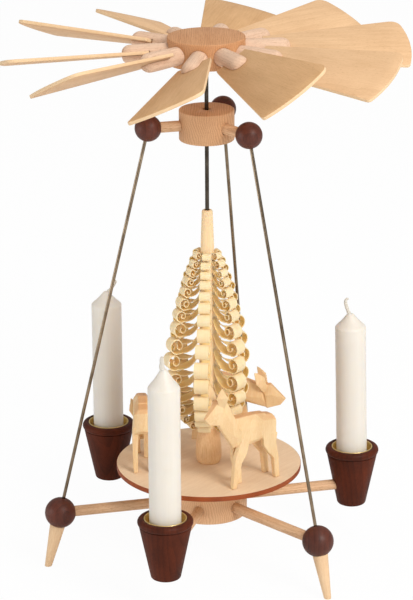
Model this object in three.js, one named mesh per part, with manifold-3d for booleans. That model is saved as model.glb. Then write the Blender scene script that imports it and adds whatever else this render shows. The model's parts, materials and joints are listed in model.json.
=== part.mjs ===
// A heat-driven candle carousel. Three candles warm a ten-bladed fan, which turns a steel spindle
// and the round stage on it, with a shaved tree and three deer. Millimetres, +Z up, and the origin
// is on the ground, on the spindle's axis.

import * as THREE from 'three';
import { mergeVertices } from 'three/addons/utils/BufferGeometryUtils.js';
import { ConvexGeometry } from 'three/addons/geometries/ConvexGeometry.js';
import Module from 'manifold-3d';

const wasm = await Module();
wasm.setup();

// Fits
const seatGap = 0.3; // around each glued, pressed or resting piece
const cutOverrun = 2; // how far a cut runs past the face that it opens

// Stand: three legs, each a wire between two balls, with a turned foot in line with it
const legCount = 3;
const firstLegDeg = 90;
const ballHeight = 25.6; // centre of a lower ball, which is the height of the lower dowels
const legCircle = 69.3; // radius of the circle through the lower balls
const crownHeight = 202.7; // centre of an upper ball
const crownCircle = 26.3; // radius of the circle through the upper balls
const lowerBallRadius = 7;
const upperBallRadius = 5.9;
const wireRadius = 0.75;
const wireSink = 3; // distance from each ball's centre to the wire's end
const footTopRadius = 3.45;
const footTipRadius = 1.35;
const footSeat = 5.9; // distance from the ball's centre to the foot's shoulder
const footSpigotRadius = 1.7;
const footSpigotEnd = 3.4; // distance from the ball's centre to the spigot's end
const footRound = 0.5;

// Dowels and the two hubs that they join
const dowelRadius = 2.4;
const dowelInBall = 3.5; // distance from a ball's centre to the dowel's end
const baseHubRadius = 17.4;
const baseHubThickness = 12.6;
const baseDowelStart = 10.5; // distance from the axis to the lower dowels' inner ends
const topHubRadius = 12.2;
const topHubThickness = 13.6;
const topDowelStart = 7;
const hubEdge = 0.5; // small chamfer on the hubs' edges
const topBoreRadius = 1.9; // loose guide hole for the spindle

// Candle holders
const holderCount = 3;
const firstHolderDeg = 30;
const holderCircle = 68.2;
const cupTopRadius = 12.25;
const cupFootRadius = 6.7;
const cupBelowArm = 9.7;
const cupAboveArm = 18.5;
const cupFootRound = 0.8;
const cupBead = 3.6; // height of the rounded rim
const cupBeadStep = 0.7; // how far the rim stands out from the tapered body
const dowelInCup = 3.6; // distance from the cup's axis to the arm's end
const linerTopRadius = 9.4;
const linerWall = 0.5;
const linerDepth = 9;

// Candles
const candleRadius = 7;
const candleSide = 67; // height of the straight side
const candleTaper = 7; // from the side to the neck
const candleTipShares = [[0.8, 0.2], [0.56, 0.48], [0.3, 0.8]]; // of the radius and the taper
const neckRadius = 1.2;
const neckLengths = [3.4, 0.8, 8]; // waxed part of each wick
const wickRadius = 0.6;
const wickLengths = [3.6, 5.2, 1.4]; // bare part of each wick
const candleLeanDegs = [1.2, 0, 0];

// Spindle and its glass bearing
const spindleRadius = 0.9;
const spindlePoint = 2.2;
const bearingRadius = 2.5;
const bearingHeight = 5;
const dimpleRadius = 1.6;
const dimpleDepth = 1.8;

// Turntable
const tableRadius = 42;
const tableThickness = 2.3;
const tableTop = 43.5;
const tableEdge = 0.4;

// Tree: a turned stem with shavings that are pared from it and left on
const stemTop = 163.5;
const stemTopRadius = 2.43;
const stemTopRound = 0.8;
const coreTop = 143.8; // where the stem ends and the shavings start
const coreTopRadius = 3.1;
const coreBottomRadius = 4.5;
const trunkTop = 64;
const trunkTopRadius = 4.7;
const trunkRadius = 5.95;
const trunkBulgeRise = 4.5; // height of the trunk's widest line above the table
const trunkFootRadius = 5.2;
const columnCount = 6;
const firstColumnDeg = 281.2;
const columnDriftDeg = -0.45; // how far a column turns from one tier to the next
const tierTops = [
  144.8, 141.4, 137.6, 133.8, 129.4, 124.8, 119, 113.2, 106, 98.4, 90.4, 81.8, 73.2, 68, 64,
];
const tierReaches = [
  6.8, 8.5, 10.1, 11.6, 13, 14.6, 16.2, 17.7, 19.3, 20.3, 20.4, 19.8, 18.2, 14,
];
const topStripWidth = 4;
const bottomStripWidth = 6.5;
const shavingThickness = 0.6;
const shavingRoot = 0.5; // how far a shaving's root lies inside the core
const curlRadiusShare = 0.49; // of the tier's height
const curlEndShare = 0.5; // of the curl's first radius
const curlSteps = 4;
const curlStartDeg = -120;
const curlTurnDeg = 280;
const rootRiseShare = 0.8; // of the curl's radius, above its centre
const leadDropShare = 0.35; // of the curl's radius, below its centre
const leadReachShare = 0.3; // of the way from the core to the curl's centre
const stripFitShare = 0.94; // of a column's sixth of the circle

// Deer, facing clockwise round the tree: one looks up, one grazes and one reaches forward
const deerDegs = [327.2, 199.5, 97];
const deerCircleShare = 0.715; // of the table's radius
const deerLength = 40.5;
const deerWidth = 10;
const deerHeight = 50;

// Fan
const bladeCount = 10;
const firstBladeDeg = 23;
const fanAboveCrown = 33.6; // from the upper balls' centres up to the axis of the pegs
const fanHubRadius = 17.1;
const fanHubThickness = 11.7;
const fanHubEdge = 0.5;
const spindleInFan = 9; // depth of the spindle's hole in the fan hub
const pegSpigotRadius = 2;
const pegSpigotStart = 9;
const pegRootStart = 15.4; // where the peg's full radius starts, in the hub's socket
const pegRootRadius = 4.05;
const pegRadius = 4.25;
const pegSwell = 27; // distance from the axis where the peg reaches its full radius
const pegEnd = 36.7;
const pegNoseRadius = 2.3;
const pegNoseLength = 3;
const bladeThickness = 1.5;
const bladeRoot = 25.5;
const bladeRootHalf = 8;
const bladeCorner = 86.8; // distance from the axis to the tip's corners
const bladeTipHalf = 17.7;
const bladeTipBulge = 3;
const bladeHighRound = 4.5;
const bladeLowRound = 1.8;
const bladePitchDegs = [20, 20.5, 12.5, 16.5, 22, 16, 26.5, 25, 32, 22.5];
const bladeDroopDegs = [0.5, 0.5, 1, 2.5, 0, 2, 0.5, 2.5, -0.5, 1.5];

// Facets
const ballSides = 16;
const ballRings = 10;
const pinSides = 10;
const dowelSides = 12;
const hubSides = 30;
const cupSides = 20;
const tableSides = 40;
const coreSides = 12;
const tipSteps = 4;

// Finishes
const beech = { color: 0xd8a577, roughness: 0.6 };
const paleBeech = { color: 0xe2bd9b, roughness: 0.65 };
const birchPly = { color: 0xdcb888, roughness: 0.65 };
const stained = { color: 0x40211a, roughness: 0.4 };
const lime = { color: 0xf0cf9a, roughness: 0.7 };
const stage = { color: 0xe0bf99, roughness: 0.55 };
const brass = { color: 0xc8a55e, roughness: 0.35, metalness: 1 };
const steel = { color: 0x6b6560, roughness: 0.35, metalness: 1 };
const wax = { color: 0xefe8dc, roughness: 0.45 };
const glass = { color: 0xdce8e8, roughness: 0.1 };

// Sizes that follow from the ones above
const deg = Math.PI / 180;
const legRun = legCircle - crownCircle;
const legRise = crownHeight - ballHeight;
const legLength = Math.hypot(legRun, legRise);
const legLean = Math.atan2(legRun, legRise);
const baseHubTop = ballHeight + baseHubThickness / 2;
const topHubBottom = crownHeight - topHubThickness / 2;
const linerTop = ballHeight + cupAboveArm;
const linerFloor = linerTop - linerDepth;
const candleBase = linerFloor + seatGap;
const deerCircle = tableRadius * deerCircleShare;
const fanHeight = crownHeight + fanAboveCrown;
const dimpleFloor = baseHubTop - dimpleDepth;
const spindleFoot = dimpleFloor + seatGap;
const fanHubBottom = fanHeight - fanHubThickness / 2;
const spindleTop = fanHubBottom + spindleInFan - seatGap;

// Geometry helpers

function turned(profile, sides) {
  const points = profile.map(([radius, height]) => new THREE.Vector2(radius, height));
  return new THREE.LatheGeometry(points, sides).rotateX(Math.PI / 2);
}

function post(radius, bottom, top, sides) {
  const cylinder = new THREE.CylinderGeometry(radius, radius, top - bottom, sides);
  return cylinder.rotateX(Math.PI / 2).translate(0, 0, (top + bottom) / 2);
}

function bar(radius, inner, outer, height, sides) {
  return post(radius, inner, outer, sides).rotateY(Math.PI / 2).translate(0, 0, height);
}

function signedVolume(positions, triangles) {
  const [a, b, c] = [new THREE.Vector3(), new THREE.Vector3(), new THREE.Vector3()];
  let volume = 0;
  for (let i = 0; i < triangles.length; i += 3) {
    a.fromArray(positions, 3 * triangles[i]);
    b.fromArray(positions, 3 * triangles[i + 1]);
    c.fromArray(positions, 3 * triangles[i + 2]);
    volume += a.dot(b.cross(c));
  }
  return volume;
}

// A closed geometry as a solid, without the flat triangles at a turned shape's poles.
function solidOf(geometry) {
  geometry.deleteAttribute('normal');
  geometry.deleteAttribute('uv');
  const merged = mergeVertices(geometry);
  const positions = merged.attributes.position.array;
  const indices = merged.index.array;
  const triangles = [];
  for (let i = 0; i < indices.length; i += 3) {
    const [a, b, c] = [indices[i], indices[i + 1], indices[i + 2]];
    if (a !== b && b !== c && c !== a) triangles.push(a, b, c);
  }
  if (signedVolume(positions, triangles) < 0) triangles.reverse();
  const triVerts = new Uint32Array(triangles);
  return new wasm.Manifold(new wasm.Mesh({ numProp: 3, vertProperties: positions, triVerts }));
}

function cut(solid, ...tools) {
  return tools.reduce((rest, tool) => rest.subtract(solidOf(tool)), solid);
}

function join(solids) {
  return solids.reduce((whole, next) => whole.add(next));
}

function piece(name, solid, finish) {
  const { vertProperties, triVerts } = solid.getMesh();
  const geometry = new THREE.BufferGeometry();
  geometry.setAttribute('position', new THREE.BufferAttribute(vertProperties, 3));
  geometry.setIndex(new THREE.BufferAttribute(triVerts, 1));
  geometry.computeVertexNormals();
  const mesh = new THREE.Mesh(geometry, new THREE.MeshStandardMaterial(finish));
  mesh.name = name;
  return mesh;
}

function turnedGroup(angleDeg, ...pieces) {
  const group = new THREE.Group();
  group.rotation.z = angleDeg * deg;
  group.add(...pieces);
  return group;
}

// Stand

const placeOnLeg = (geometry) => geometry.rotateY(-legLean).translate(legCircle, 0, ballHeight);

// The foot hangs from the ball along the wire's line; grown by a fit, the same shape cuts its seat.
function footShape(fit) {
  const length = ballHeight / Math.cos(legLean) + footTopRadius;
  const profile = [
    [0, -length],
    [footTipRadius + fit, -length],
    [footTopRadius + fit, fit - footSeat],
    [footSpigotRadius + fit, fit - footSeat],
    [footSpigotRadius + fit, fit - footSpigotEnd],
    [0, fit - footSpigotEnd],
  ];
  return placeOnLeg(turned(profile, dowelSides));
}

function foot() {
  const reach = 2 * legCircle;
  const ground = new THREE.BoxGeometry(reach, reach, reach).translate(legCircle, 0, -reach / 2);
  return cut(solidOf(footShape(0)), ground);
}

function wireShape(fit) {
  return placeOnLeg(post(wireRadius + fit, wireSink - fit, legLength - wireSink + fit, pinSides));
}

function legDowelShape(fit) {
  const outer = legCircle - dowelInBall;
  return bar(dowelRadius + fit, baseDowelStart - fit, outer + fit, ballHeight, dowelSides);
}

function crownDowelShape(fit) {
  const outer = crownCircle - dowelInBall;
  return bar(dowelRadius + fit, topDowelStart - fit, outer + fit, crownHeight, dowelSides);
}

function lowerBall() {
  const ball = new THREE.SphereGeometry(lowerBallRadius, ballSides, ballRings);
  const whole = solidOf(ball.translate(legCircle, 0, ballHeight));
  return cut(whole, footShape(seatGap), wireShape(seatGap), legDowelShape(seatGap));
}

function upperBall() {
  const ball = new THREE.SphereGeometry(upperBallRadius, ballSides, ballRings);
  const whole = solidOf(ball.translate(crownCircle, 0, crownHeight));
  return cut(whole, wireShape(seatGap), crownDowelShape(seatGap));
}

function leg(index) {
  const number = index + 1;
  return turnedGroup(
    firstLegDeg + (index * 360) / legCount,
    piece(`foot_${number}`, foot(), paleBeech),
    piece(`lower_ball_${number}`, lowerBall(), stained),
    piece(`leg_wire_${number}`, solidOf(wireShape(0)), steel),
    piece(`upper_ball_${number}`, upperBall(), stained),
    piece(`leg_dowel_${number}`, solidOf(legDowelShape(0)), paleBeech),
    piece(`upper_dowel_${number}`, solidOf(crownDowelShape(0)), paleBeech),
  );
}

// Hubs

function disc(radius, bottom, thickness, edge) {
  const top = bottom + thickness;
  const profile = [
    [0, bottom],
    [radius - edge, bottom],
    [radius, bottom + edge],
    [radius, top - edge],
    [radius - edge, top],
    [0, top],
  ];
  return turned(profile, hubSides);
}

function baseHub() {
  const bottom = baseHubTop - baseHubThickness;
  const sockets = [];
  for (let index = 0; index < legCount; index += 1) {
    const turn = (firstLegDeg + (index * 360) / legCount) * deg;
    sockets.push(legDowelShape(seatGap).rotateZ(turn));
  }
  for (let index = 0; index < holderCount; index += 1) {
    const turn = (firstHolderDeg + (index * 360) / holderCount) * deg;
    sockets.push(armShape(seatGap).rotateZ(turn));
  }
  const seatBottom = baseHubTop - bearingHeight - seatGap;
  const seat = post(bearingRadius + seatGap, seatBottom, baseHubTop + cutOverrun, dowelSides);
  return cut(solidOf(disc(baseHubRadius, bottom, baseHubThickness, hubEdge)), seat, ...sockets);
}

function topHub() {
  const sockets = [];
  for (let index = 0; index < legCount; index += 1) {
    const turn = (firstLegDeg + (index * 360) / legCount) * deg;
    sockets.push(crownDowelShape(seatGap).rotateZ(turn));
  }
  const top = topHubBottom + topHubThickness;
  const bore = post(topBoreRadius, topHubBottom - cutOverrun, top + cutOverrun, dowelSides);
  return cut(solidOf(disc(topHubRadius, topHubBottom, topHubThickness, hubEdge)), bore, ...sockets);
}

function glassBearing() {
  const bottom = baseHubTop - bearingHeight;
  const profile = [
    [0, bottom],
    [bearingRadius, bottom],
    [bearingRadius, baseHubTop],
    [dimpleRadius, baseHubTop],
    [0, dimpleFloor],
  ];
  return solidOf(turned(profile, dowelSides));
}

// Candle holders

function armShape(fit) {
  const outer = holderCircle - dowelInCup;
  return bar(dowelRadius + fit, baseDowelStart - fit, outer + fit, ballHeight, dowelSides);
}

const linerFloorRadius = candleRadius + seatGap;

// Outside of the brass liner; grown by a fit, it is the pocket in the cup.
function linerOutside(fit) {
  return [
    [0, linerFloor - linerWall - fit],
    [linerFloorRadius + linerWall + fit, linerFloor - linerWall - fit],
    [linerTopRadius + fit, linerTop],
  ];
}

function candleCup() {
  const bottom = ballHeight - cupBelowArm;
  const beadBottom = linerTop - cupBead;
  const bodyTopRadius = cupTopRadius - cupBeadStep;
  const pocket = linerOutside(seatGap);
  const profile = [
    [0, bottom],
    [cupFootRadius - cupFootRound, bottom],
    [cupFootRadius, bottom + cupFootRound],
    [bodyTopRadius, beadBottom],
    [cupTopRadius - cupBeadStep / 3, beadBottom + cupBead / 5],
    [cupTopRadius, linerTop - cupBead / 2],
    [cupTopRadius - cupBeadStep / 2, linerTop - cupBead / 6],
    [cupTopRadius - 2 * cupBeadStep, linerTop],
    ...pocket.reverse(),
  ];
  const cup = turned(profile, cupSides).translate(holderCircle, 0, 0);
  return cut(solidOf(cup), armShape(seatGap));
}

function brassLiner() {
  const profile = [
    ...linerOutside(0),
    [linerTopRadius - linerWall, linerTop],
    [linerFloorRadius, linerFloor],
    [0, linerFloor],
  ];
  return solidOf(turned(profile, cupSides).translate(holderCircle, 0, 0));
}

function candle(index) {
  const neckFoot = candleSide + candleTaper;
  const neckTop = neckFoot + neckLengths[index];
  const wickTop = neckTop + wickLengths[index];
  const profile = [
    [0, 0],
    [candleRadius, 0],
    [candleRadius, candleSide],
    ...candleTipShares.map(([radiusShare, heightShare]) => (
      [radiusShare * candleRadius, candleSide + heightShare * candleTaper]
    )),
    [neckRadius, neckFoot],
    [neckRadius, neckTop],
    [wickRadius, neckTop],
    [wickRadius, wickTop],
    [0, wickTop],
  ];
  const lean = candleLeanDegs[index] * deg;
  return solidOf(turned(profile, cupSides).rotateY(-lean).translate(holderCircle, 0, candleBase));
}

function holder(index) {
  const number = index + 1;
  return turnedGroup(
    firstHolderDeg + (index * 360) / holderCount,
    piece(`candle_arm_${number}`, solidOf(armShape(0)), paleBeech),
    piece(`candle_cup_${number}`, candleCup(), stained),
    piece(`brass_liner_${number}`, brassLiner(), brass),
    piece(`candle_${number}`, candle(index), wax),
  );
}

// Rotor

function spindle() {
  const profile = [
    [0, spindleFoot],
    [spindleRadius, spindleFoot + spindlePoint],
    [spindleRadius, spindleTop],
    [0, spindleTop],
  ];
  return solidOf(turned(profile, pinSides));
}

function turntable() {
  const bore = spindleRadius + seatGap;
  const bottom = tableTop - tableThickness;
  const profile = [
    [bore, bottom],
    [tableRadius - tableEdge, bottom],
    [tableRadius, bottom + tableEdge],
    [tableRadius, tableTop - tableEdge],
    [tableRadius - tableEdge, tableTop],
    [bore, tableTop],
    [bore, bottom],
  ];
  return solidOf(turned(profile, tableSides));
}

function treeCore() {
  const bore = spindleRadius + seatGap;
  const profile = [
    [bore, tableTop],
    [trunkFootRadius, tableTop],
    [trunkRadius, tableTop + trunkBulgeRise],
    [trunkTopRadius, trunkTop],
    [coreBottomRadius, trunkTop + shavingThickness],
    [coreTopRadius, coreTop],
    [stemTopRadius, stemTop - stemTopRound],
    [stemTopRadius - stemTopRound / 2, stemTop],
    [bore, stemTop],
    [bore, tableTop],
  ];
  return solidOf(turned(profile, coreSides));
}

// Both sides of a bent strip, as one closed outline.
function stripOutline(path, thickness) {
  const sides = [[], []];
  path.forEach((point, index) => {
    const before = path[Math.max(index - 1, 0)];
    const after = path[Math.min(index + 1, path.length - 1)];
    const along = new THREE.Vector2().subVectors(after, before).normalize();
    const across = new THREE.Vector2(-along.y, along.x).multiplyScalar(thickness / 2);
    sides[0].push(point.clone().add(across));
    sides[1].unshift(point.clone().sub(across));
  });
  return new THREE.Shape([...sides[0], ...sides[1]]);
}

function coreRadiusAt(height) {
  const share = (coreTop - height) / (coreTop - trunkTop);
  return THREE.MathUtils.lerp(coreTopRadius, coreBottomRadius, Math.min(Math.max(share, 0), 1));
}

// A shaving leaves the core, dips, and rolls up and inwards, seen from the side: x is the
// distance from the tree's axis and y is the height.
function shavingPath(reach, centreHeight, radius) {
  const core = coreRadiusAt(centreHeight);
  const centreReach = reach - radius;
  const lead = core + leadReachShare * (centreReach - core);
  const path = [
    new THREE.Vector2(core - shavingRoot, centreHeight + rootRiseShare * radius),
    new THREE.Vector2(lead, centreHeight - leadDropShare * radius),
  ];
  for (let step = 0; step <= curlSteps; step += 1) {
    const share = step / curlSteps;
    const turn = (curlStartDeg + share * curlTurnDeg) * deg;
    const curl = radius * THREE.MathUtils.lerp(1, curlEndShare, share);
    const x = centreReach + curl * Math.cos(turn);
    path.push(new THREE.Vector2(x, centreHeight + curl * Math.sin(turn)));
  }
  return path;
}

function shaving(tier) {
  const tierHeight = tierTops[tier] - tierTops[tier + 1];
  const centreHeight = tierTops[tier] - tierHeight / 2;
  const tierShare = tier / (tierReaches.length - 1);
  const width = THREE.MathUtils.lerp(topStripWidth, bottomStripWidth, tierShare);
  const path = shavingPath(tierReaches[tier], centreHeight, curlRadiusShare * tierHeight);
  const outline = stripOutline(path, shavingThickness);
  const strip = new THREE.ExtrudeGeometry(outline, { depth: width, bevelEnabled: false });
  strip.translate(0, 0, -width / 2).rotateX(Math.PI / 2);
  const positions = strip.attributes.position;
  const fit = Math.tan(Math.PI / columnCount) * stripFitShare;
  for (let index = 0; index < positions.count; index += 1) {
    const limit = fit * positions.getX(index);
    positions.setY(index, THREE.MathUtils.clamp(positions.getY(index), -limit, limit));
  }
  return strip;
}

function shavedTree() {
  const solids = [treeCore()];
  for (let tier = 0; tier < tierReaches.length; tier += 1) {
    for (let column = 0; column < columnCount; column += 1) {
      const turnDeg = firstColumnDeg + tier * columnDriftDeg + (column * 360) / columnCount;
      solids.push(solidOf(shaving(tier).rotateZ(turnDeg * deg)));
    }
  }
  return join(solids);
}

// Deer. Points are [forward, left, up] as shares of a deer's length, width and height.
const barrelShares = [
  [0.01, 0.18, 0.65], [-0.143, 0.18, 0.63], [0.25, 0.38, 0.55], [-0.143, 0.41, 0.55],
  [0.238, 0.36, 0.42], [-0.143, 0.38, 0.42], [0.214, 0.18, 0.366], [-0.143, 0.2, 0.385],
];
const withersShares = [
  [0.335, 0.13, 0.66], [0.3, 0.21, 0.668],
];
const haunchShares = [
  [0.01, 0.18, 0.65], [-0.245, 0.18, 0.6], [-0.288, 0.16, 0.565], [-0.071, 0.4, 0.58],
  [-0.262, 0.4, 0.55], [-0.07, 0.45, 0.4], [-0.25, 0.44, 0.36], [-0.29, 0.15, 0.4],
  [-0.095, 0.15, 0.385],
];
const chestShares = [
  [0.3, 0.1, 0.376], [0.21, 0.36, 0.44],
];
const collarShares = [
  [0.42, 0.16, 0.86], [0.44, 0.24, 0.74], [0.515, 0.11, 0.636],
];
const headShares = [
  [0.42, 0.14, 0.86], [0.53, 0.16, 0.868], [0.575, 0.15, 0.83], [0.706, 0.07, 0.728],
  [0.648, 0.08, 0.668], [0.49, 0.16, 0.634], [0.48, 0.26, 0.76], [0.55, 0.23, 0.775],
];
const earShares = [
  [0.51, 0.12, 0.79], [0.45, 0.24, 0.8], [0.592, 0.27, 0.91], [0.472, 0.56, 0.91],
  [0.57, 0.36, 0.985], [0.545, 0.46, 1.02], [0.48, 0.34, 0.93],
];
const earRootShares = [0.47, 0, 0.8];
// How each deer's withers and head stand off from the first one's. The head nods about its poll.
const withersDropShares = [0, 0.08, 0.07];
const pollShares = [0.44, 0, 0.83];
const headForwardShares = [0, 0.06, 0.07];
const headDropShares = [0, 0.53, 0.312];
const headNodDegs = [0, 45, 0];
const earBackDegs = [0, 60, 40];
// A leg's sections as shares: [front, back, inner, outer, up], from the body to the hoof.
const foreLegShares = [
  [0.235, 0.11, 0.1, 0.36, 0.45], [0.312, 0.155, 0.1, 0.34, 0.31], [0.33, 0.225, 0.08, 0.32, 0.23],
  [0.352, 0.29, 0.08, 0.28, 0],
];
const hindLegShares = [
  [-0.06, -0.27, 0.2, 0.45, 0.43], [-0.065, -0.245, 0.22, 0.48, 0.34],
  [-0.135, -0.265, 0.24, 0.49, 0.26], [-0.205, -0.28, 0.25, 0.49, 0.2],
  [-0.235, -0.3, 0.26, 0.47, 0],
];
const strideShare = -0.15; // how far the inner forefoot stands back

function deerPoint([forward, left, up]) {
  return new THREE.Vector3(forward * deerLength, left * deerWidth, up * deerHeight);
}

function bothSides(shares) {
  return [1, -1].flatMap((side) => (
    shares.map(([forward, left, up]) => deerPoint([forward, side * left, up]))
  ));
}

function carved(points) {
  return solidOf(new ConvexGeometry(points));
}

// Turns points nose down about a pivot.
function nodded(points, pivot, angleDeg) {
  const leftAxis = new THREE.Vector3(0, 1, 0);
  return points.map((point) => (
    point.clone().sub(pivot).applyAxisAngle(leftAxis, angleDeg * deg).add(pivot)
  ));
}

function withers(index) {
  const drop = deerPoint([0, 0, withersDropShares[index]]);
  return bothSides(withersShares).map((point) => point.sub(drop));
}

function deerHead(index) {
  const poll = deerPoint(pollShares);
  const offset = deerPoint([headForwardShares[index], 0, -headDropShares[index]]);
  const placed = (points) => (
    nodded(points, poll, headNodDegs[index]).map((point) => point.add(offset))
  );
  const neckBase = [...withers(index), ...bothSides(chestShares)];
  const ears = nodded(bothSides(earShares), deerPoint(earRootShares), -earBackDegs[index]);
  return [
    carved([...neckBase, ...placed(bothSides(collarShares))]),
    carved(placed(bothSides(headShares))),
    carved(placed(ears.slice(0, earShares.length))),
    carved(placed(ears.slice(earShares.length))),
  ];
}

function deerLeg(sections, side, stride) {
  const top = sections[0][4];
  const corners = sections.map(([front, back, inner, outer, up]) => {
    const shift = stride * (1 - up / top);
    return [
      [front + shift, side * inner, up],
      [front + shift, side * outer, up],
      [back + shift, side * inner, up],
      [back + shift, side * outer, up],
    ].map(deerPoint);
  });
  return corners.slice(1).map((lower, index) => carved([...corners[index], ...lower]));
}

function deer(index) {
  const solids = [
    carved([...bothSides(barrelShares), ...withers(index)]),
    carved(bothSides(haunchShares)),
    ...deerHead(index),
  ];
  for (const side of [1, -1]) {
    solids.push(...deerLeg(foreLegShares, side, side < 0 ? strideShare : 0));
    solids.push(...deerLeg(hindLegShares, side, 0));
  }
  return join(solids);
}

function placedDeer(index) {
  const figure = piece(`deer_${index + 1}`, deer(index), lime);
  const turn = deerDegs[index] * deg;
  figure.position.set(deerCircle * Math.cos(turn), deerCircle * Math.sin(turn), tableTop);
  figure.rotation.z = turn - Math.PI / 2;
  return figure;
}

// Fan

const alongPeg = (geometry) => geometry.rotateY(Math.PI / 2);

// The peg's shank in the hub; grown by a fit, it is the socket, which stays open outwards.
function pegShankProfile(fit) {
  return [
    [0, pegSpigotStart - fit],
    [pegSpigotRadius + fit, pegSpigotStart - fit],
    [pegSpigotRadius + fit, pegRootStart - fit],
    [pegRootRadius + fit, pegRootStart - fit],
  ];
}

function peg() {
  const profile = [
    ...pegShankProfile(0),
    [pegRadius, pegSwell],
    [pegRadius, pegEnd - pegNoseLength],
    [(pegRadius + pegNoseRadius) / 2 + pegNoseRadius / 4, pegEnd - pegNoseLength / 4],
    [pegNoseRadius, pegEnd],
    [0, pegEnd],
  ];
  const slotLength = pegEnd - bladeRoot + seatGap + cutOverrun;
  const slotWidth = 2 * (pegRadius + cutOverrun);
  const slotHeight = bladeThickness + 2 * seatGap;
  const slot = new THREE.BoxGeometry(slotLength, slotWidth, slotHeight);
  slot.translate(bladeRoot - seatGap + slotLength / 2, 0, 0);
  return cut(solidOf(alongPeg(turned(profile, dowelSides))), slot);
}

// The blade's outline runs out along its low edge, round the bulging tip, and back.
function blade() {
  const tipAt = (across) => bladeCorner + bladeTipBulge * (1 - (across / bladeTipHalf) ** 2);
  const edgeSlope = (bladeTipHalf - bladeRootHalf) / (bladeCorner - bladeRoot);
  const outline = new THREE.Shape();
  outline.moveTo(bladeRoot, bladeRootHalf);
  outline.lineTo(bladeRoot, -bladeRootHalf);
  outline.lineTo(bladeCorner - bladeLowRound, bladeLowRound * edgeSlope - bladeTipHalf);
  const low = bladeLowRound - bladeTipHalf;
  const high = bladeTipHalf - bladeHighRound;
  outline.quadraticCurveTo(bladeCorner, -bladeTipHalf, tipAt(low), low);
  for (let step = 1; step <= tipSteps; step += 1) {
    const across = THREE.MathUtils.lerp(low, high, step / tipSteps);
    outline.lineTo(tipAt(across), across);
  }
  const highEnd = bladeTipHalf - bladeHighRound * edgeSlope;
  outline.quadraticCurveTo(bladeCorner, bladeTipHalf, bladeCorner - bladeHighRound, highEnd);
  const settings = { depth: bladeThickness, bevelEnabled: false, curveSegments: tipSteps };
  const sheet = new THREE.ExtrudeGeometry(outline, settings);
  return solidOf(sheet.translate(0, 0, -bladeThickness / 2));
}

function fanHub() {
  const hub = solidOf(disc(fanHubRadius, -fanHubThickness / 2, fanHubThickness, fanHubEdge));
  const bore = post(
    spindleRadius + seatGap,
    -fanHubThickness / 2 - cutOverrun,
    spindleInFan - fanHubThickness / 2,
    dowelSides,
  );
  const sockets = [];
  for (let index = 0; index < bladeCount; index += 1) {
    const shank = pegShankProfile(seatGap);
    const mouth = fanHubRadius + cutOverrun;
    const socket = turned([...shank, [pegRootRadius + seatGap, mouth], [0, mouth]], dowelSides);
    const turn = (firstBladeDeg + (index * 360) / bladeCount) * deg;
    sockets.push(alongPeg(socket).rotateY(bladeDroopDegs[index] * deg).rotateZ(turn));
  }
  return cut(hub, bore, ...sockets);
}

function wing(index) {
  const number = index + 1;
  const twisted = new THREE.Group();
  twisted.rotation.set(bladePitchDegs[index] * deg, bladeDroopDegs[index] * deg, 0, 'YXZ');
  twisted.add(
    piece(`blade_peg_${number}`, peg(), paleBeech),
    piece(`fan_blade_${number}`, blade(), birchPly),
  );
  return turnedGroup(firstBladeDeg + (index * 360) / bladeCount, twisted);
}

function fan() {
  const group = new THREE.Group();
  group.position.z = fanHeight;
  group.add(piece('fan_hub', fanHub(), beech));
  for (let index = 0; index < bladeCount; index += 1) group.add(wing(index));
  return group;
}

// The whole carousel

const carousel = new THREE.Group();
carousel.name = 'candle_carousel';
carousel.add(
  piece('base_hub', baseHub(), beech),
  piece('glass_bearing', glassBearing(), glass),
  piece('top_hub', topHub(), beech),
  piece('spindle', spindle(), steel),
  piece('turntable', turntable(), stage),
  piece('shaved_tree', shavedTree(), lime),
);
for (let index = 0; index < legCount; index += 1) carousel.add(leg(index));
for (let index = 0; index < holderCount; index += 1) carousel.add(holder(index));
for (let index = 0; index < deerDegs.length; index += 1) carousel.add(placedDeer(index));
carousel.add(fan());

export default carousel;
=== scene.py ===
"""The look of a candle carousel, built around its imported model.

Three candles warm a ten-bladed fan, which turns a spindle and a round table with a shaved tree
and three deer. Sizes are in millimetres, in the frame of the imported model, unless a name says
otherwise. Each sub-assembly is a class that models its pieces and dresses them.
"""

import json
import logging
import math
import random
from collections.abc import Callable, Iterator, Sequence
from contextlib import contextmanager
from dataclasses import dataclass
from enum import Enum
from functools import cache
from typing import Any

import bpy
from mathutils import Matrix, Vector

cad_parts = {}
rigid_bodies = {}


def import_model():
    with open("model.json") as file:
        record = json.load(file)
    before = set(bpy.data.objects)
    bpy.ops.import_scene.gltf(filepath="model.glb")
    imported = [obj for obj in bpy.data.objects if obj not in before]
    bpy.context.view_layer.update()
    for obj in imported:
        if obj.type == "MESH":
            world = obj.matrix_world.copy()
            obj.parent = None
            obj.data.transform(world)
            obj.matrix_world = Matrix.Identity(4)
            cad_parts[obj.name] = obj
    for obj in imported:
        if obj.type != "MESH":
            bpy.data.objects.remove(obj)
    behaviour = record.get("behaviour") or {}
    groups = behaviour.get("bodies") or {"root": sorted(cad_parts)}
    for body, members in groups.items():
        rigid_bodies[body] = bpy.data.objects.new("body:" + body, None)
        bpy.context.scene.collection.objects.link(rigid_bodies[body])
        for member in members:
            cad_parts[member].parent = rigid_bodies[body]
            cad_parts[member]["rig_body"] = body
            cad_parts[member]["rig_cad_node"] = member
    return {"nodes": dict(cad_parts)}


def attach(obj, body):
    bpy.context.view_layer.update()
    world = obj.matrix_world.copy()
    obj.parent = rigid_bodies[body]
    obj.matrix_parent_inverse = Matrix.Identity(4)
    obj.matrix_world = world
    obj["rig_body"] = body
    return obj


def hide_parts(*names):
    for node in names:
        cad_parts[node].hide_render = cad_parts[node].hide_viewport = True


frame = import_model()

logger = logging.getLogger("carousel")

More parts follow.
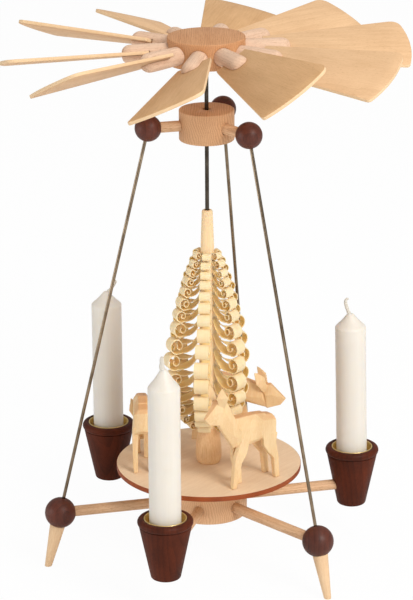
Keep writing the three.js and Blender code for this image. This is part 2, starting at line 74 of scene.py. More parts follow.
MM = 0.001
FIT = 0.12  # clearance round a glued or pressed piece
PAST = 5.0  # how far a drill goes past the piece that it cuts
EDGE_STEPS = 3
SIDEWAYS = 0.9  # a face whose normal rises less than this is a side
WHITE = (1.0, 1.0, 1.0, 1.0)

Span = tuple[float, float]
Ring = tuple[float, float]
Point = tuple[float, float, float]
Piece = bpy.types.Object
Test = Callable[[Vector, Vector], bool]


class Body(str, Enum):
    """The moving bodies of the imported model."""

    STAND = "stand"
    ROTOR = "rotor"
    FAN = "fan"
    WING = "wing_"
    CANDLE = "candle_"


class Slot(str, Enum):
    """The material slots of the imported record."""

    BEECH = "beech"
    PALE_WOOD = "pale_wood"
    THIN_WOOD = "thin_wood"
    TABLE_WOOD = "table_wood"
    CARVED_WOOD = "carved_wood"
    STAINED_WOOD = "stained_wood"
    STEEL = "steel"
    BRASS = "brass"
    WAX = "wax"
    GLASS = "glass"


# Hand work on meshes


def deselect_all() -> None:
    """Leaves edit mode and deselects every object."""
    if bpy.context.object is not None and bpy.context.object.mode != "OBJECT":
        bpy.ops.object.mode_set(mode="OBJECT")
    bpy.ops.object.select_all(action="DESELECT")


def select_only(*pieces: Piece) -> None:
    """Selects these objects alone and makes the first one active."""
    deselect_all()
    for piece in pieces:
        piece.select_set(True)
    bpy.context.view_layer.objects.active = pieces[0]


@contextmanager
def editing(piece: Piece) -> Iterator[None]:
    """Edits a piece while the block runs, with the whole of it selected at first."""
    select_only(piece)
    bpy.ops.object.mode_set(mode="EDIT")
    bpy.ops.mesh.select_all(action="SELECT")
    yield
    bpy.ops.object.mode_set(mode="OBJECT")


def pick(piece: Piece, kind: str, wanted: Test) -> None:
    """Selects, in edit mode, the corners or faces of a piece that pass a test.

    Args:
        piece: The object being edited.
        kind: "VERT" or "FACE".
        wanted: Takes an element's place and its normal.
    """
    bpy.ops.mesh.select_mode(type=kind)
    bpy.ops.mesh.select_all(action="DESELECT")
    bpy.ops.object.mode_set(mode="OBJECT")
    if kind == "FACE":
        for face in piece.data.polygons:
            face.select = wanted(face.center, face.normal)
    else:
        for corner in piece.data.vertices:
            corner.select = wanted(corner.co, corner.normal)
    bpy.ops.object.mode_set(mode="EDIT")


def applied(piece: Piece, kind: str, **settings: Any) -> Piece:
    """Gives a piece a modifier with these settings and applies it."""
    select_only(piece)
    bpy.ops.object.modifier_add(type=kind)
    modifier = piece.modifiers[-1]
    for name, value in settings.items():
        setattr(modifier, name, value)
    bpy.ops.object.modifier_apply(modifier=modifier.name)
    return piece


def discard(*pieces: Piece) -> None:
    """Removes objects that are no longer needed."""
    for piece in pieces:
        bpy.data.objects.remove(piece, do_unlink=True)


def faced_outwards(piece: Piece) -> Piece:
    """Merges a piece's doubles and turns its faces outwards."""
    with editing(piece):
        bpy.ops.mesh.remove_doubles(threshold=1e-6)
        bpy.ops.mesh.normals_make_consistent(inside=False)
    return piece


def turned(name: str, profile: Sequence[Ring], sides: int = 72) -> Piece:
    """Turns a round piece about +Z: a disc is extruded and resized from ring to ring.

    Args:
        name: Name of the new object.
        profile: Radius and height of each ring, from the first end to the last.
        sides: Number of sides of each ring.

    Returns:
        The piece, closed at both ends.
    """
    radius, height = profile[0]
    deselect_all()
    bpy.ops.mesh.primitive_circle_add(
        vertices=sides, radius=radius * MM, fill_type="NGON", location=(0, 0, height * MM)
    )
    piece = bpy.context.object
    piece.name = name
    bpy.ops.object.transform_apply(location=True, rotation=False, scale=False)
    with editing(piece):
        bpy.ops.mesh.select_mode(type="FACE")
        bpy.ops.mesh.select_all(action="SELECT")
        for next_radius, next_height in profile[1:]:
            rise = (next_height - height) * MM
            ratio = next_radius / radius
            bpy.ops.mesh.extrude_region_move(TRANSFORM_OT_translate={"value": (0, 0, rise)})
            bpy.ops.transform.resize(value=(ratio, ratio, 1), center_override=(0, 0, 0))
            radius, height = next_radius, next_height
    return faced_outwards(piece)


def arc(centre: Ring, radius: float, start_deg: float, end_deg: float, steps: int) -> list[Ring]:
    """Points of a round in a profile, from one angle to another.

    Args:
        centre: Radius and height of the round's centre.
        radius: Radius of the round.
        start_deg: First angle, from the outward direction up.
        end_deg: Last angle.
        steps: Number of steps.

    Returns:
        The points, both ends included.
    """
    points = []
    for step in range(steps + 1):
        turn = math.radians(start_deg + (end_deg - start_deg) * step / steps)
        points.append((centre[0] + radius * math.cos(turn), centre[1] + radius * math.sin(turn)))
    return points


def rod(name: str, radius: float, start: float, end: float, edge: float, sides: int = 40) -> Piece:
    """Turns a straight rod or a flat drum along +Z, with rounded ends.

    Args:
        name: Name of the new object.
        radius: Its radius.
        start: Height of its lower end.
        end: Height of its upper end.
        edge: Radius of the rounded edges.
        sides: Number of its sides.

    Returns:
        The rod.
    """
    low = arc((radius - edge, start + edge), edge, -90, 0, EDGE_STEPS)
    high = arc((radius - edge, end - edge), edge, 0, 90, EDGE_STEPS)
    return turned(name, [*low, *high], sides)


def drill(radius: float, start: float, end: float, sides: int = 40) -> Piece:
    """A plain cylinder along +Z, to cut a hole with."""
    return turned("drill", [(radius, start), (radius, end)], sides)


def cut(piece: Piece, *tools: Piece) -> Piece:
    """Cuts other objects' shapes out of a piece and removes them."""
    for tool in tools:
        applied(piece, "BOOLEAN", operation="DIFFERENCE", solver="EXACT", object=tool)
        discard(tool)
    return piece


def softened(piece: Piece, width: float, limit_deg: float = 50) -> Piece:
    """Rounds a piece's sharp edges with a narrow bevel."""
    return applied(
        piece, "BEVEL", width=width * MM, segments=2, limit_method="ANGLE",
        angle_limit=math.radians(limit_deg), use_clamp_overlap=True,
    )


def smoothed(piece: Piece, angle_deg: float = 32) -> Piece:
    """Shades a piece smooth, apart from its sharp edges."""
    select_only(piece)
    bpy.ops.object.shade_smooth_by_angle(angle=math.radians(angle_deg))
    return piece


def copied(piece: Piece, name: str) -> Piece:
    """A copy of a piece with a mesh of its own."""
    twin = piece.copy()
    twin.data = piece.data.copy()
    twin.name = name
    bpy.context.scene.collection.objects.link(twin)
    return twin


def moved(x: float, y: float, z: float) -> Matrix:
    """A shift in millimetres."""
    return Matrix.Translation(Vector((x, y, z)) * MM)


def turned_about(axis: str, angle_deg: float) -> Matrix:
    """A turn about one of the main axes."""
    return Matrix.Rotation(math.radians(angle_deg), 4, axis)


ALONG = turned_about("Y", 90)  # lays +Z along +X
INWARD = turned_about("Y", -90)
ACROSS_GRAIN = INWARD @ turned_about("Z", 73.8)  # lays a hub's fibres flat


def placed(piece: Piece, place: Matrix) -> Piece:
    """Moves a piece to its place and applies that to its mesh."""
    piece.matrix_world = place
    select_only(piece)
    bpy.ops.object.transform_apply(location=True, rotation=True, scale=True)
    return piece


def with_grain(piece: Piece, shift: Sequence[float], turn: Matrix | None = None) -> Piece:
    """Keeps where each corner was in the timber that a piece was made from.

    Args:
        piece: A piece that isn't in its place yet, with the fibres along its own +Z.
        shift: Where the piece lay in the timber.
        turn: How it was turned there.

    Returns:
        The piece, with a point attribute named grain, in millimetres.
    """
    timber = moved(*shift) @ (turn or Matrix.Identity(4))
    layer = piece.data.attributes.new("grain", "FLOAT_VECTOR", "POINT")
    values = []
    for corner in piece.data.vertices:
        values.extend((timber @ corner.co) / MM)
    layer.data.foreach_set("vector", values)
    return piece


def joined(name: str, pieces: Sequence[Piece]) -> Piece:
    """Joins several pieces in one object."""
    select_only(*pieces)
    bpy.ops.object.join()
    pieces[0].name = name
    return pieces[0]


def drawn_cord(name: str, points: Sequence[Point], radii: Sequence[float]) -> Piece:
    """Draws a round cord through points, as a closed mesh.

    Args:
        name: Name of the new object.
        points: The points that it follows.
        radii: Its radius at each point.

    Returns:
        The cord.
    """
    deselect_all()
    bpy.ops.curve.primitive_bezier_curve_add()
    piece = bpy.context.object
    piece.name = name
    curve = piece.data
    curve.bevel_depth = MM
    curve.bevel_resolution = 3
    curve.resolution_u = 6
    curve.use_fill_caps = True
    spline = curve.splines[0]
    spline.bezier_points.add(len(points) - 2)
    for knot, point, radius in zip(spline.bezier_points, points, radii):
        knot.co = Vector(point) * MM
        knot.radius = radius
        knot.handle_left_type = knot.handle_right_type = "AUTO"
    bpy.ops.object.convert(target="MESH")
    return faced_outwards(piece)


# Shader nodes


def linear(code: str) -> tuple[float, float, float, float]:
    """A colour written as six hexadecimal digits, in linear light."""
    channels = [int(code[start:start + 2], 16) / 255 for start in (0, 2, 4)]
    red, green, blue = (
        value / 12.92 if value <= 0.04045 else ((value + 0.055) / 1.055) ** 2.4
        for value in channels
    )
    return (red, green, blue, 1.0)


class Graph:
    """Adds and links the nodes of one node tree."""

    def __init__(self, tree: bpy.types.NodeTree) -> None:
        """Starts an empty tree."""
        self.tree = tree
        tree.nodes.clear()

    def node(self, kind: str, feeds: dict[Any, Any], **settings: Any) -> bpy.types.Node:
        """Adds a node.

        Args:
            kind: The node's type.
            feeds: A value or an output socket for each input, by name or index.
            **settings: The node's own settings.

        Returns:
            The node.
        """
        node = self.tree.nodes.new(kind)
        for name, value in settings.items():
            setattr(node, name, value)
        for key, value in feeds.items():
            if isinstance(value, bpy.types.NodeSocket):
                self.tree.links.new(value, node.inputs[key])
            else:
                node.inputs[key].default_value = value
        return node

    def group(self, group: bpy.types.NodeTree, feeds: dict[str, Any]) -> Any:
        """The outputs of a shared node group."""
        return self.node("ShaderNodeGroup", feeds, node_tree=group).outputs

    def principled(self, feeds: dict[str, Any]) -> Any:
        """A principled shader."""
        return self.node("ShaderNodeBsdfPrincipled", feeds).outputs[0]

    def bump(self, strength: float, height: Any, distance: float = 0.1) -> Any:
        """The normal of a fine relief, with its depth in millimetres."""
        feeds = {"Strength": strength, "Distance": distance * MM, "Height": height}
        return self.node("ShaderNodeBump", feeds).outputs[0]

    def attribute(self, name: str, output: str) -> Any:
        """A value that the mesh carries."""
        return self.node("ShaderNodeAttribute", {}, attribute_name=name).outputs[output]

    def math(self, operation: str, first: Any, second: Any = 0.0, clamp: bool = False) -> Any:
        """The result of a sum on one or two values."""
        feeds = {0: first, 1: second}
        node = self.node("ShaderNodeMath", feeds, operation=operation, use_clamp=clamp)
        return node.outputs[0]

    def weighted(self, *terms: tuple[Any, Any]) -> Any:
        """The total of several values, each multiplied by its weight."""
        total = 0.0
        for value, weight in terms:
            total = self.math("ADD", total, self.math("MULTIPLY", value, weight))
        return total

    def vector_math(self, operation: str, feeds: dict[Any, Any]) -> Any:
        """The outputs of a sum on vectors."""
        return self.node("ShaderNodeVectorMath", feeds, operation=operation).outputs

    def stretched(self, vector: Any, scale: Point) -> Any:
        """A vector scaled along each axis."""
        return self.vector_math("MULTIPLY", {0: vector, 1: scale})[0]

    def noise(self, vector: Any, detail: float, roughness: float = 0.5) -> Any:
        """Noise at one unit a blotch, from 0 to 1."""
        feeds = {"Vector": vector, "Scale": 1.0, "Detail": detail, "Roughness": roughness}
        return self.node("ShaderNodeTexNoise", feeds).outputs[0]

    def ranged(self, value: Any, low: float, high: float, out: tuple[Any, Any] = (0.0, 1.0)) -> Any:
        """A value moved from one range to another, and held inside it."""
        feeds = {"Value": value, "From Min": low, "From Max": high}
        feeds |= {"To Min": out[0], "To Max": out[1]}
        return self.node("ShaderNodeMapRange", feeds).outputs[0]

    def figure(
        self, vector: Any, scale: Point, detail: float, span: Span, roughness: float = 0.5
    ) -> Any:
        """Noise that is stretched along the axes and spread from a low to a high level."""
        return self.ranged(self.noise(self.stretched(vector, scale), detail, roughness), *span)

    def mixed(self, share: Any, first: Any, second: Any) -> Any:
        """A mix of two colours."""
        feeds = {0: share, 6: first, 7: second}
        return self.node("ShaderNodeMix", feeds, data_type="RGBA").outputs[2]


def shader_group(name: str, inputs: dict[str, Any], outputs: dict[str, str]) -> bpy.types.NodeTree:
    """Starts a node group with named inputs and outputs.

    Args:
        name: The group's name.
        inputs: A default value for each input: a number, a colour of four or a vector of three.
        outputs: A socket type for each output.

    Returns:
        The group, empty inside.
    """
    group = bpy.data.node_groups.new(name, "ShaderNodeTree")
    for label, value in inputs.items():
        if isinstance(value, (int, float)):
            kind = "NodeSocketFloat"
        else:
            kind = "NodeSocketColor" if len(value) == 4 else "NodeSocketVector"
        socket = group.interface.new_socket(label, in_out="INPUT", socket_type=kind)
        socket.default_value = value
    for label, kind in outputs.items():
        group.interface.new_socket(label, in_out="OUTPUT", socket_type=kind)
    return group


class Effects:
    """The shader groups that several finishes share, each made once."""

    @staticmethod
    @cache
    def timber() -> bpy.types.NodeTree:
        """Rings, fibres and pores of a timber, as a colour, a roughness mask and a height."""
        group = shader_group(
            "timber",
            {
                "Vector": (0.0, 0.0, 0.0), "Pale": WHITE,
                "Deep": (0.5, 0.4, 0.3, 1.0), "Pith": (40.0, 0.0, 0.0), "Ring Width": 1.6,
                "Rings": 0.4, "Fibres": 0.4, "Pores": 0.3, "Clouds": 0.3,
            },
            {"Color": "NodeSocketColor", "Mask": "NodeSocketFloat", "Height": "NodeSocketFloat"},
        )
        graph = Graph(group)
        given = graph.node("NodeGroupInput", {}).outputs
        place = given["Vector"]
        sway = graph.noise(graph.stretched(place, (0.09, 0.09, 0.018)), 2.0)
        sway = graph.math("MULTIPLY", graph.math("SUBTRACT", sway, 0.5), 5.0)
        across = graph.stretched(place, (1.0, 1.0, 0.04))
        from_pith = graph.vector_math("ADD", {0: across, 1: given["Pith"]})[0]
        reach = graph.vector_math("LENGTH", {0: from_pith})[1]
        rings = graph.math("DIVIDE", graph.math("ADD", reach, sway), given["Ring Width"])
        rings = graph.math("POWER", graph.math("FRACT", rings), 2.2)
        fibres = graph.figure(place, (3.6, 3.6, 0.09), 4.0, (0.32, 0.7), 0.65)
        pores = graph.figure(place, (7.5, 7.5, 0.55), 1.0, (0.62, 0.72))
        clouds = graph.figure(place, (0.11, 0.11, 0.045), 2.0, (0.3, 0.7))
        depth = graph.weighted(
            (rings, given["Rings"]), (fibres, given["Fibres"]),
            (pores, given["Pores"]), (clouds, given["Clouds"]),
        )
        depth = graph.math("MULTIPLY", depth, 1.0, clamp=True)
        color = graph.mixed(depth, given["Pale"], given["Deep"])
        height = graph.weighted((fibres, 0.6), (rings, 0.25), (pores, -0.8))
        graph.node("NodeGroupOutput", {"Color": color, "Mask": fibres, "Height": height})
        return group

    @staticmethod
    @cache
    def handling() -> bpy.types.NodeTree:
        """Soft blotches and fine speckle of a handled surface, as two masks."""
        group = shader_group(
            "handling",
            {"Vector": (0.0, 0.0, 0.0), "Blotch Size": 6.0, "Speckle Size": 0.4},
            {"Blotches": "NodeSocketFloat", "Speckle": "NodeSocketFloat"},
        )
        graph = Graph(group)
        given = graph.node("NodeGroupInput", {}).outputs
        masks = {}
        for mask, size, detail in (
            ("Blotches", "Blotch Size", 3.0), ("Speckle", "Speckle Size", 1.0),
        ):
            scale = graph.math("DIVIDE", 1.0, given[size])
            vector = graph.vector_math("SCALE", {0: given["Vector"], "Scale": scale})[0]
            masks[mask] = graph.ranged(graph.noise(vector, detail), 0.3, 0.7)
        graph.node("NodeGroupOutput", masks)
        return group


class Finish:
    """A surface that pieces are given, made once as a material."""

    name: str

    @cache
    def material(self) -> bpy.types.Material:
        """The finish as a material."""
        material = bpy.data.materials.new(self.name)
        material.use_nodes = True
        graph = Graph(material.node_tree)
        shader = self.surface(graph, graph.attribute("grain", "Vector"))
        graph.node("ShaderNodeOutputMaterial", {"Surface": shader})
        return material

    def surface(self, graph: Graph, place: Any) -> Any:
        """Builds the finish's nodes.

        Args:
            graph: The material's node tree.
            place: Where a point was in its timber or stock, in millimetres.

        Returns:
            The shader's output.
        """
        raise NotImplementedError


@dataclass(frozen=True)
class Wood(Finish):
    """A timber with its two colours, its figure and its sheen."""

    name: str
    pale: str
    deep: str
    pith: Point
    ring_width: float
    rings: float
    fibres: float
    pores: float
    clouds: float
    roughness: Span = (0.5, 0.66)
    relief: float = 0.25
    coat: float = 0.0
    coat_roughness: float = 0.3
    gloss: float = 0.35
    glow: float = 0.0
    glow_reach: float = 1.0
    glow_tint: Point = (1.0, 0.55, 0.25)
    # painted shade: a darker pale and deep pair for the faces that look up
    painted_top_shade: tuple[str, str] | None = None

    def surface(self, graph: Graph, place: Any) -> Any:
        """Builds the timber, its relief, its sheen and any painted shade on its tops."""
        pale, deep = linear(self.pale), linear(self.deep)
        # Painted shade: faces that look up are mixed towards the darker top colours.
        if self.painted_top_shade:
            upward = graph.attribute("upward", "Fac")
            pale = graph.mixed(upward, pale, linear(self.painted_top_shade[0]))
            deep = graph.mixed(upward, deep, linear(self.painted_top_shade[1]))
        timber = graph.group(Effects.timber(), {
            "Vector": place, "Pale": pale, "Deep": deep, "Pith": self.pith,
            "Ring Width": self.ring_width, "Rings": self.rings, "Fibres": self.fibres,
            "Pores": self.pores, "Clouds": self.clouds,
        })
        return graph.principled({
            "Base Color": timber["Color"],
            "Roughness": graph.ranged(timber["Mask"], 0.0, 1.0, self.roughness),
            "Normal": graph.bump(self.relief, timber["Height"]),
            "Coat Weight": self.coat, "Coat Roughness": self.coat_roughness,
            "Specular IOR Level": self.gloss, "Subsurface Weight": self.glow,
            "Subsurface Radius": self.glow_tint, "Subsurface Scale": self.glow_reach * MM,
        })


@dataclass(frozen=True)
class Wax(Finish):
    """Candle wax, faintly streaked from dipping and translucent."""

    name: str = "candle_wax"
    pale: str = "e4ded4"
    deep: str = "d6cfc3"

    def surface(self, graph: Graph, place: Any) -> Any:
        """Builds the wax."""
        feeds = {"Vector": place, "Blotch Size": 14.0, "Speckle Size": 0.7}
        masks = graph.group(Effects.handling(), feeds)
        streaks = graph.figure(place, (1.1, 1.1, 0.03), 2.0, (0.3, 0.75))
        share = graph.weighted((streaks, 0.2), (masks["Blotches"], 0.15))
        return graph.principled({
            "Base Color": graph.mixed(share, linear(self.pale), linear(self.deep)),
            "Roughness": graph.ranged(masks["Blotches"], 0.0, 1.0, (0.36, 0.48)),
            "Normal": graph.bump(0.08, masks["Speckle"]), "Specular IOR Level": 0.4,
            "Subsurface Weight": 0.35, "Subsurface Radius": (1.0, 0.8, 0.55),
            "Subsurface Scale": 3.0 * MM,
        })


@dataclass(frozen=True)
class Cotton(Finish):
    """A wick's braided cotton, dipped in wax."""

    name: str = "wick_cotton"
    pale: str = "f0ebe1"
    deep: str = "cfc6b6"

    def surface(self, graph: Graph, place: Any) -> Any:
        """Builds the braid."""
        feeds = {"Vector": graph.stretched(place, (6.0, 6.0, 2.4)), "Scale": 1.0, "Distortion": 2.0}
        strands = graph.node("ShaderNodeTexWave", feeds).outputs[1]
        return graph.principled({
            "Base Color": graph.mixed(strands, linear(self.deep), linear(self.pale)),
            "Roughness": graph.ranged(strands, 0.0, 1.0, (0.7, 0.9)),
            "Normal": graph.bump(0.5, strands),
        })


@dataclass(frozen=True)
class Metal(Finish):
    """A bare metal with drawing or turning marks and faint handling."""

    name: str
    bright: str
    dull: str
    roughness: Span
    marks: Point
    metallic: float = 1.0

    def surface(self, graph: Graph, place: Any) -> Any:
        """Builds the metal."""
        lines = graph.figure(place, self.marks, 3.0, (0.3, 0.7), 0.6)
        masks = graph.group(Effects.handling(), {"Vector": place})
        share = graph.weighted((masks["Blotches"], 0.7), (lines, 0.3))
        return graph.principled({
            "Base Color": graph.mixed(share, linear(self.bright), linear(self.dull)),
            "Metallic": self.metallic,
            "Roughness": graph.ranged(share, 0.0, 1.0, self.roughness),
            "Normal": graph.bump(0.1, lines, 0.05),
        })


@dataclass(frozen=True)
class Glass(Finish):
    """Clear glass with faint specks."""

    name: str = "bearing_glass"

    def surface(self, graph: Graph, place: Any) -> Any:
        """Builds the glass."""
        blotches = graph.group(Effects.handling(), {"Vector": place})["Blotches"]
        return graph.principled({
            "Base Color": graph.mixed(blotches, linear("f1f6f5"), linear("dbe7e5")),
            "Roughness": graph.ranged(blotches, 0.0, 1.0, (0.02, 0.09)),
            "Transmission Weight": 1.0, "IOR": 1.5,
        })


# The finishes

HUB_PITH = (5.0, -62.0, 0.0)
ROD_PITH = (9.0, 4.0, 0.0)
BLADE_PITH = (6.0, 18.0, 0.0)
TREE_PITH = (3.0, 30.0, 0.0)

TOP_BEECH = Wood("top_beech", "e6b88b", "a4683c", HUB_PITH, 0.95, 0.42, 0.3, 0.4, 0.12)
# The base hub's beech is a paler copy of the top hub's: painted bounce light for the shade under
# the turntable.
BASE_BEECH_PAINTED_BOUNCE = Wood("base_beech_painted_bounce", "f5cb9f", "b87a4c", HUB_PITH, 0.95, 0.42, 0.3, 0.4, 0.12)
FAN_BEECH = Wood("fan_beech", "dca676", "975a30", HUB_PITH, 0.8, 0.34, 0.4, 0.5, 0.15)
PEG_WOOD = Wood("peg_wood", "eccbaf", "a67a5a", (14.0, 5.0, 0.0), 1.3, 0.15, 0.3, 0.7, 0.15)
DOWEL_WOOD = Wood("dowel_wood", "efc9a0", "a86f45", ROD_PITH, 1.1, 0.2, 0.5, 0.7, 0.12)
FOOT_WOOD = Wood("foot_wood", "efd0a8", "cfa074", ROD_PITH, 1.4, 0.15, 0.35, 0.3, 0.2)
BLADE_WOOD = Wood("blade_wood", "ebc397", "b38453", BLADE_PITH, 3.2, 0.1, 0.22, 0.45, 0.2)
# A darker copy of the blade wood: painted shade for the blades that face away from the light.
PAINTED_SHADE_BLADE = Wood("painted_shade_blade", "ddb180", "a87846", BLADE_PITH, 3.2, 0.1, 0.26, 0.45, 0.2)
BLADE_EDGE = Wood("blade_edge", "f0d2aa", "d2a878", BLADE_PITH, 0.5, 0.2, 0.3, 0.2, 0.2)
TABLE_WOOD = Wood("table_wood", "f3d8b7", "cfa57a", (11.0, 60.0, 0.0), 2.8, 0.08, 0.2, 0.25, 0.2)
SCORCHED = Wood("scorched_edge", "b4571f", "64270d", (9.0, 70.0, 0.0), 0.6, 0.3, 0.3, 0.2, 0.4)
# The shavings' two faces are one wood: the inside colours are more golden, a painted warm bounce
# light for the shade inside the curls.
SHAVING_OUT, SHAVING_IN_PAINTED_BOUNCE = (
    Wood(
        name, pale, deep, TREE_PITH, 1.2, 0.1, 0.26, 0.03, 0.15,
        relief=0.1, glow=0.6, glow_tint=(1.0, 0.85, 0.65),
    )
    for name, pale, deep in (
        ("shaving_outside", "fce4bd", "f0c78f"), ("shaving_inside_painted_bounce", "ffe1a8", "fcc67c"),
    )
)
TRUNK_WOOD = Wood(
    "trunk_wood", "fddaab", "d19a62", TREE_PITH, 1.2, 0.15, 0.5, 0.3, 0.2,
    glow=0.2, glow_reach=0.6,
)
STEM_WOOD = Wood(
    "stem_wood", "f6dbb0", "e2b981", TREE_PITH, 1.2, 0.12, 0.28, 0.15, 0.2,
    glow=0.2, glow_reach=0.6,
)
# Carved lime for the deer; its top colours are painted shade on the faces that look up.
CARVED = Wood(
    "carved_lime", "f1d6a9", "dcac74", (22.0, 13.0, 0.0), 3.4, 0.14, 0.4, 0.1, 0.34,
    glow=0.15, glow_reach=0.6, painted_top_shade=("e9b887", "cb935f"),
)
STAINED = Wood(
    "satin_stain", "622810", "270d05", ROD_PITH, 2.2, 0.2, 0.26, 0.3, 0.5,
    roughness=(0.48, 0.62), coat=0.03, coat_roughness=0.25, gloss=0.15,
)
BEAD_STAIN = Wood(
    "bead_stain", "6b3423", "30130b", ROD_PITH, 2.2, 0.25, 0.34, 0.3, 0.45,
    roughness=(0.42, 0.56), coat=0.08, gloss=0.3,
)
SPINDLE_STEEL = Metal("ground_steel", "5e564b", "332d28", (0.18, 0.3), (9.0, 9.0, 0.35))
STEEL = Metal("drawn_steel", "a08d75", "5f5142", (0.12, 0.2), (9.0, 9.0, 0.35))
BRASS = Metal("spun_brass", "f4dd9c", "dbb669", (0.26, 0.4), (0.6, 0.6, 5.0), metallic=0.75)
WAX = Wax()
COTTON = Cotton()
GLASS = Glass()


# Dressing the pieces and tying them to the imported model


def dressed(piece: Piece, *finishes: Finish) -> Piece:
    """Gives a piece a material slot for each finish. Its faces wear the first one."""
    for finish in finishes:
        piece.data.materials.append(finish.material())
    return piece


def dressed_where(piece: Piece, finish: Finish, wanted: Test) -> Piece:
    """Gives a piece one more finish, on the faces that pass a test."""
    dressed(piece, finish)
    with editing(piece):
        pick(piece, "FACE", wanted)
        piece.active_material_index = len(piece.data.materials) - 1
        bpy.ops.object.material_slot_assign()
    return piece


def keep(piece: Piece, finish: Finish, body: str, slot: Slot, *nodes: str) -> Piece:
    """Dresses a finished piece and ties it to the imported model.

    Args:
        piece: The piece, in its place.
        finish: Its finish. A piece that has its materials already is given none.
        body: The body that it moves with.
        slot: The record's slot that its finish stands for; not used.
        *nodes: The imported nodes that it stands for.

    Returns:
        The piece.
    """
    if not piece.data.materials:
        dressed(piece, finish)
    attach(piece, body)
    if nodes:
        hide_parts(*nodes)
    logger.info("%s: %d faces, rides on %s", piece.name, len(piece.data.polygons), body)
    return piece


@dataclass(frozen=True)
class Kind:
    """A piece of the stand that is modelled once and stands several times round the axis."""

    name: str
    master: Piece
    place: Matrix
    finish: Finish
    slot: Slot
    node: str


@dataclass(frozen=True)
class Stock:
    """How the pieces of a set lie apart in their timber, from copy to copy and kind to kind."""

    by_copy: Point
    by_kind: Point
    turn_by_copy: float
    turn_by_kind: float
    first_turn: float

    def copies(self, kinds: Sequence[Kind], angles_deg: Sequence[float]) -> None:
        """Sets a copy of each kind at each angle and removes the masters."""
        for order, kind in enumerate(kinds):
            for index, angle in enumerate(angles_deg):
                piece = copied(kind.master, f"{kind.name}_{index + 1}")
                shift = index * Vector(self.by_copy) + order * Vector(self.by_kind)
                turn = self.first_turn + index * self.turn_by_copy + order * self.turn_by_kind
                with_grain(piece, shift, turned_about("Z", turn))
                placed(piece, turned_about("Z", angle) @ kind.place)
                node = f"{kind.node}_{index + 1}"
                keep(piece, kind.finish, Body.STAND.value, kind.slot, node)
            discard(kind.master)


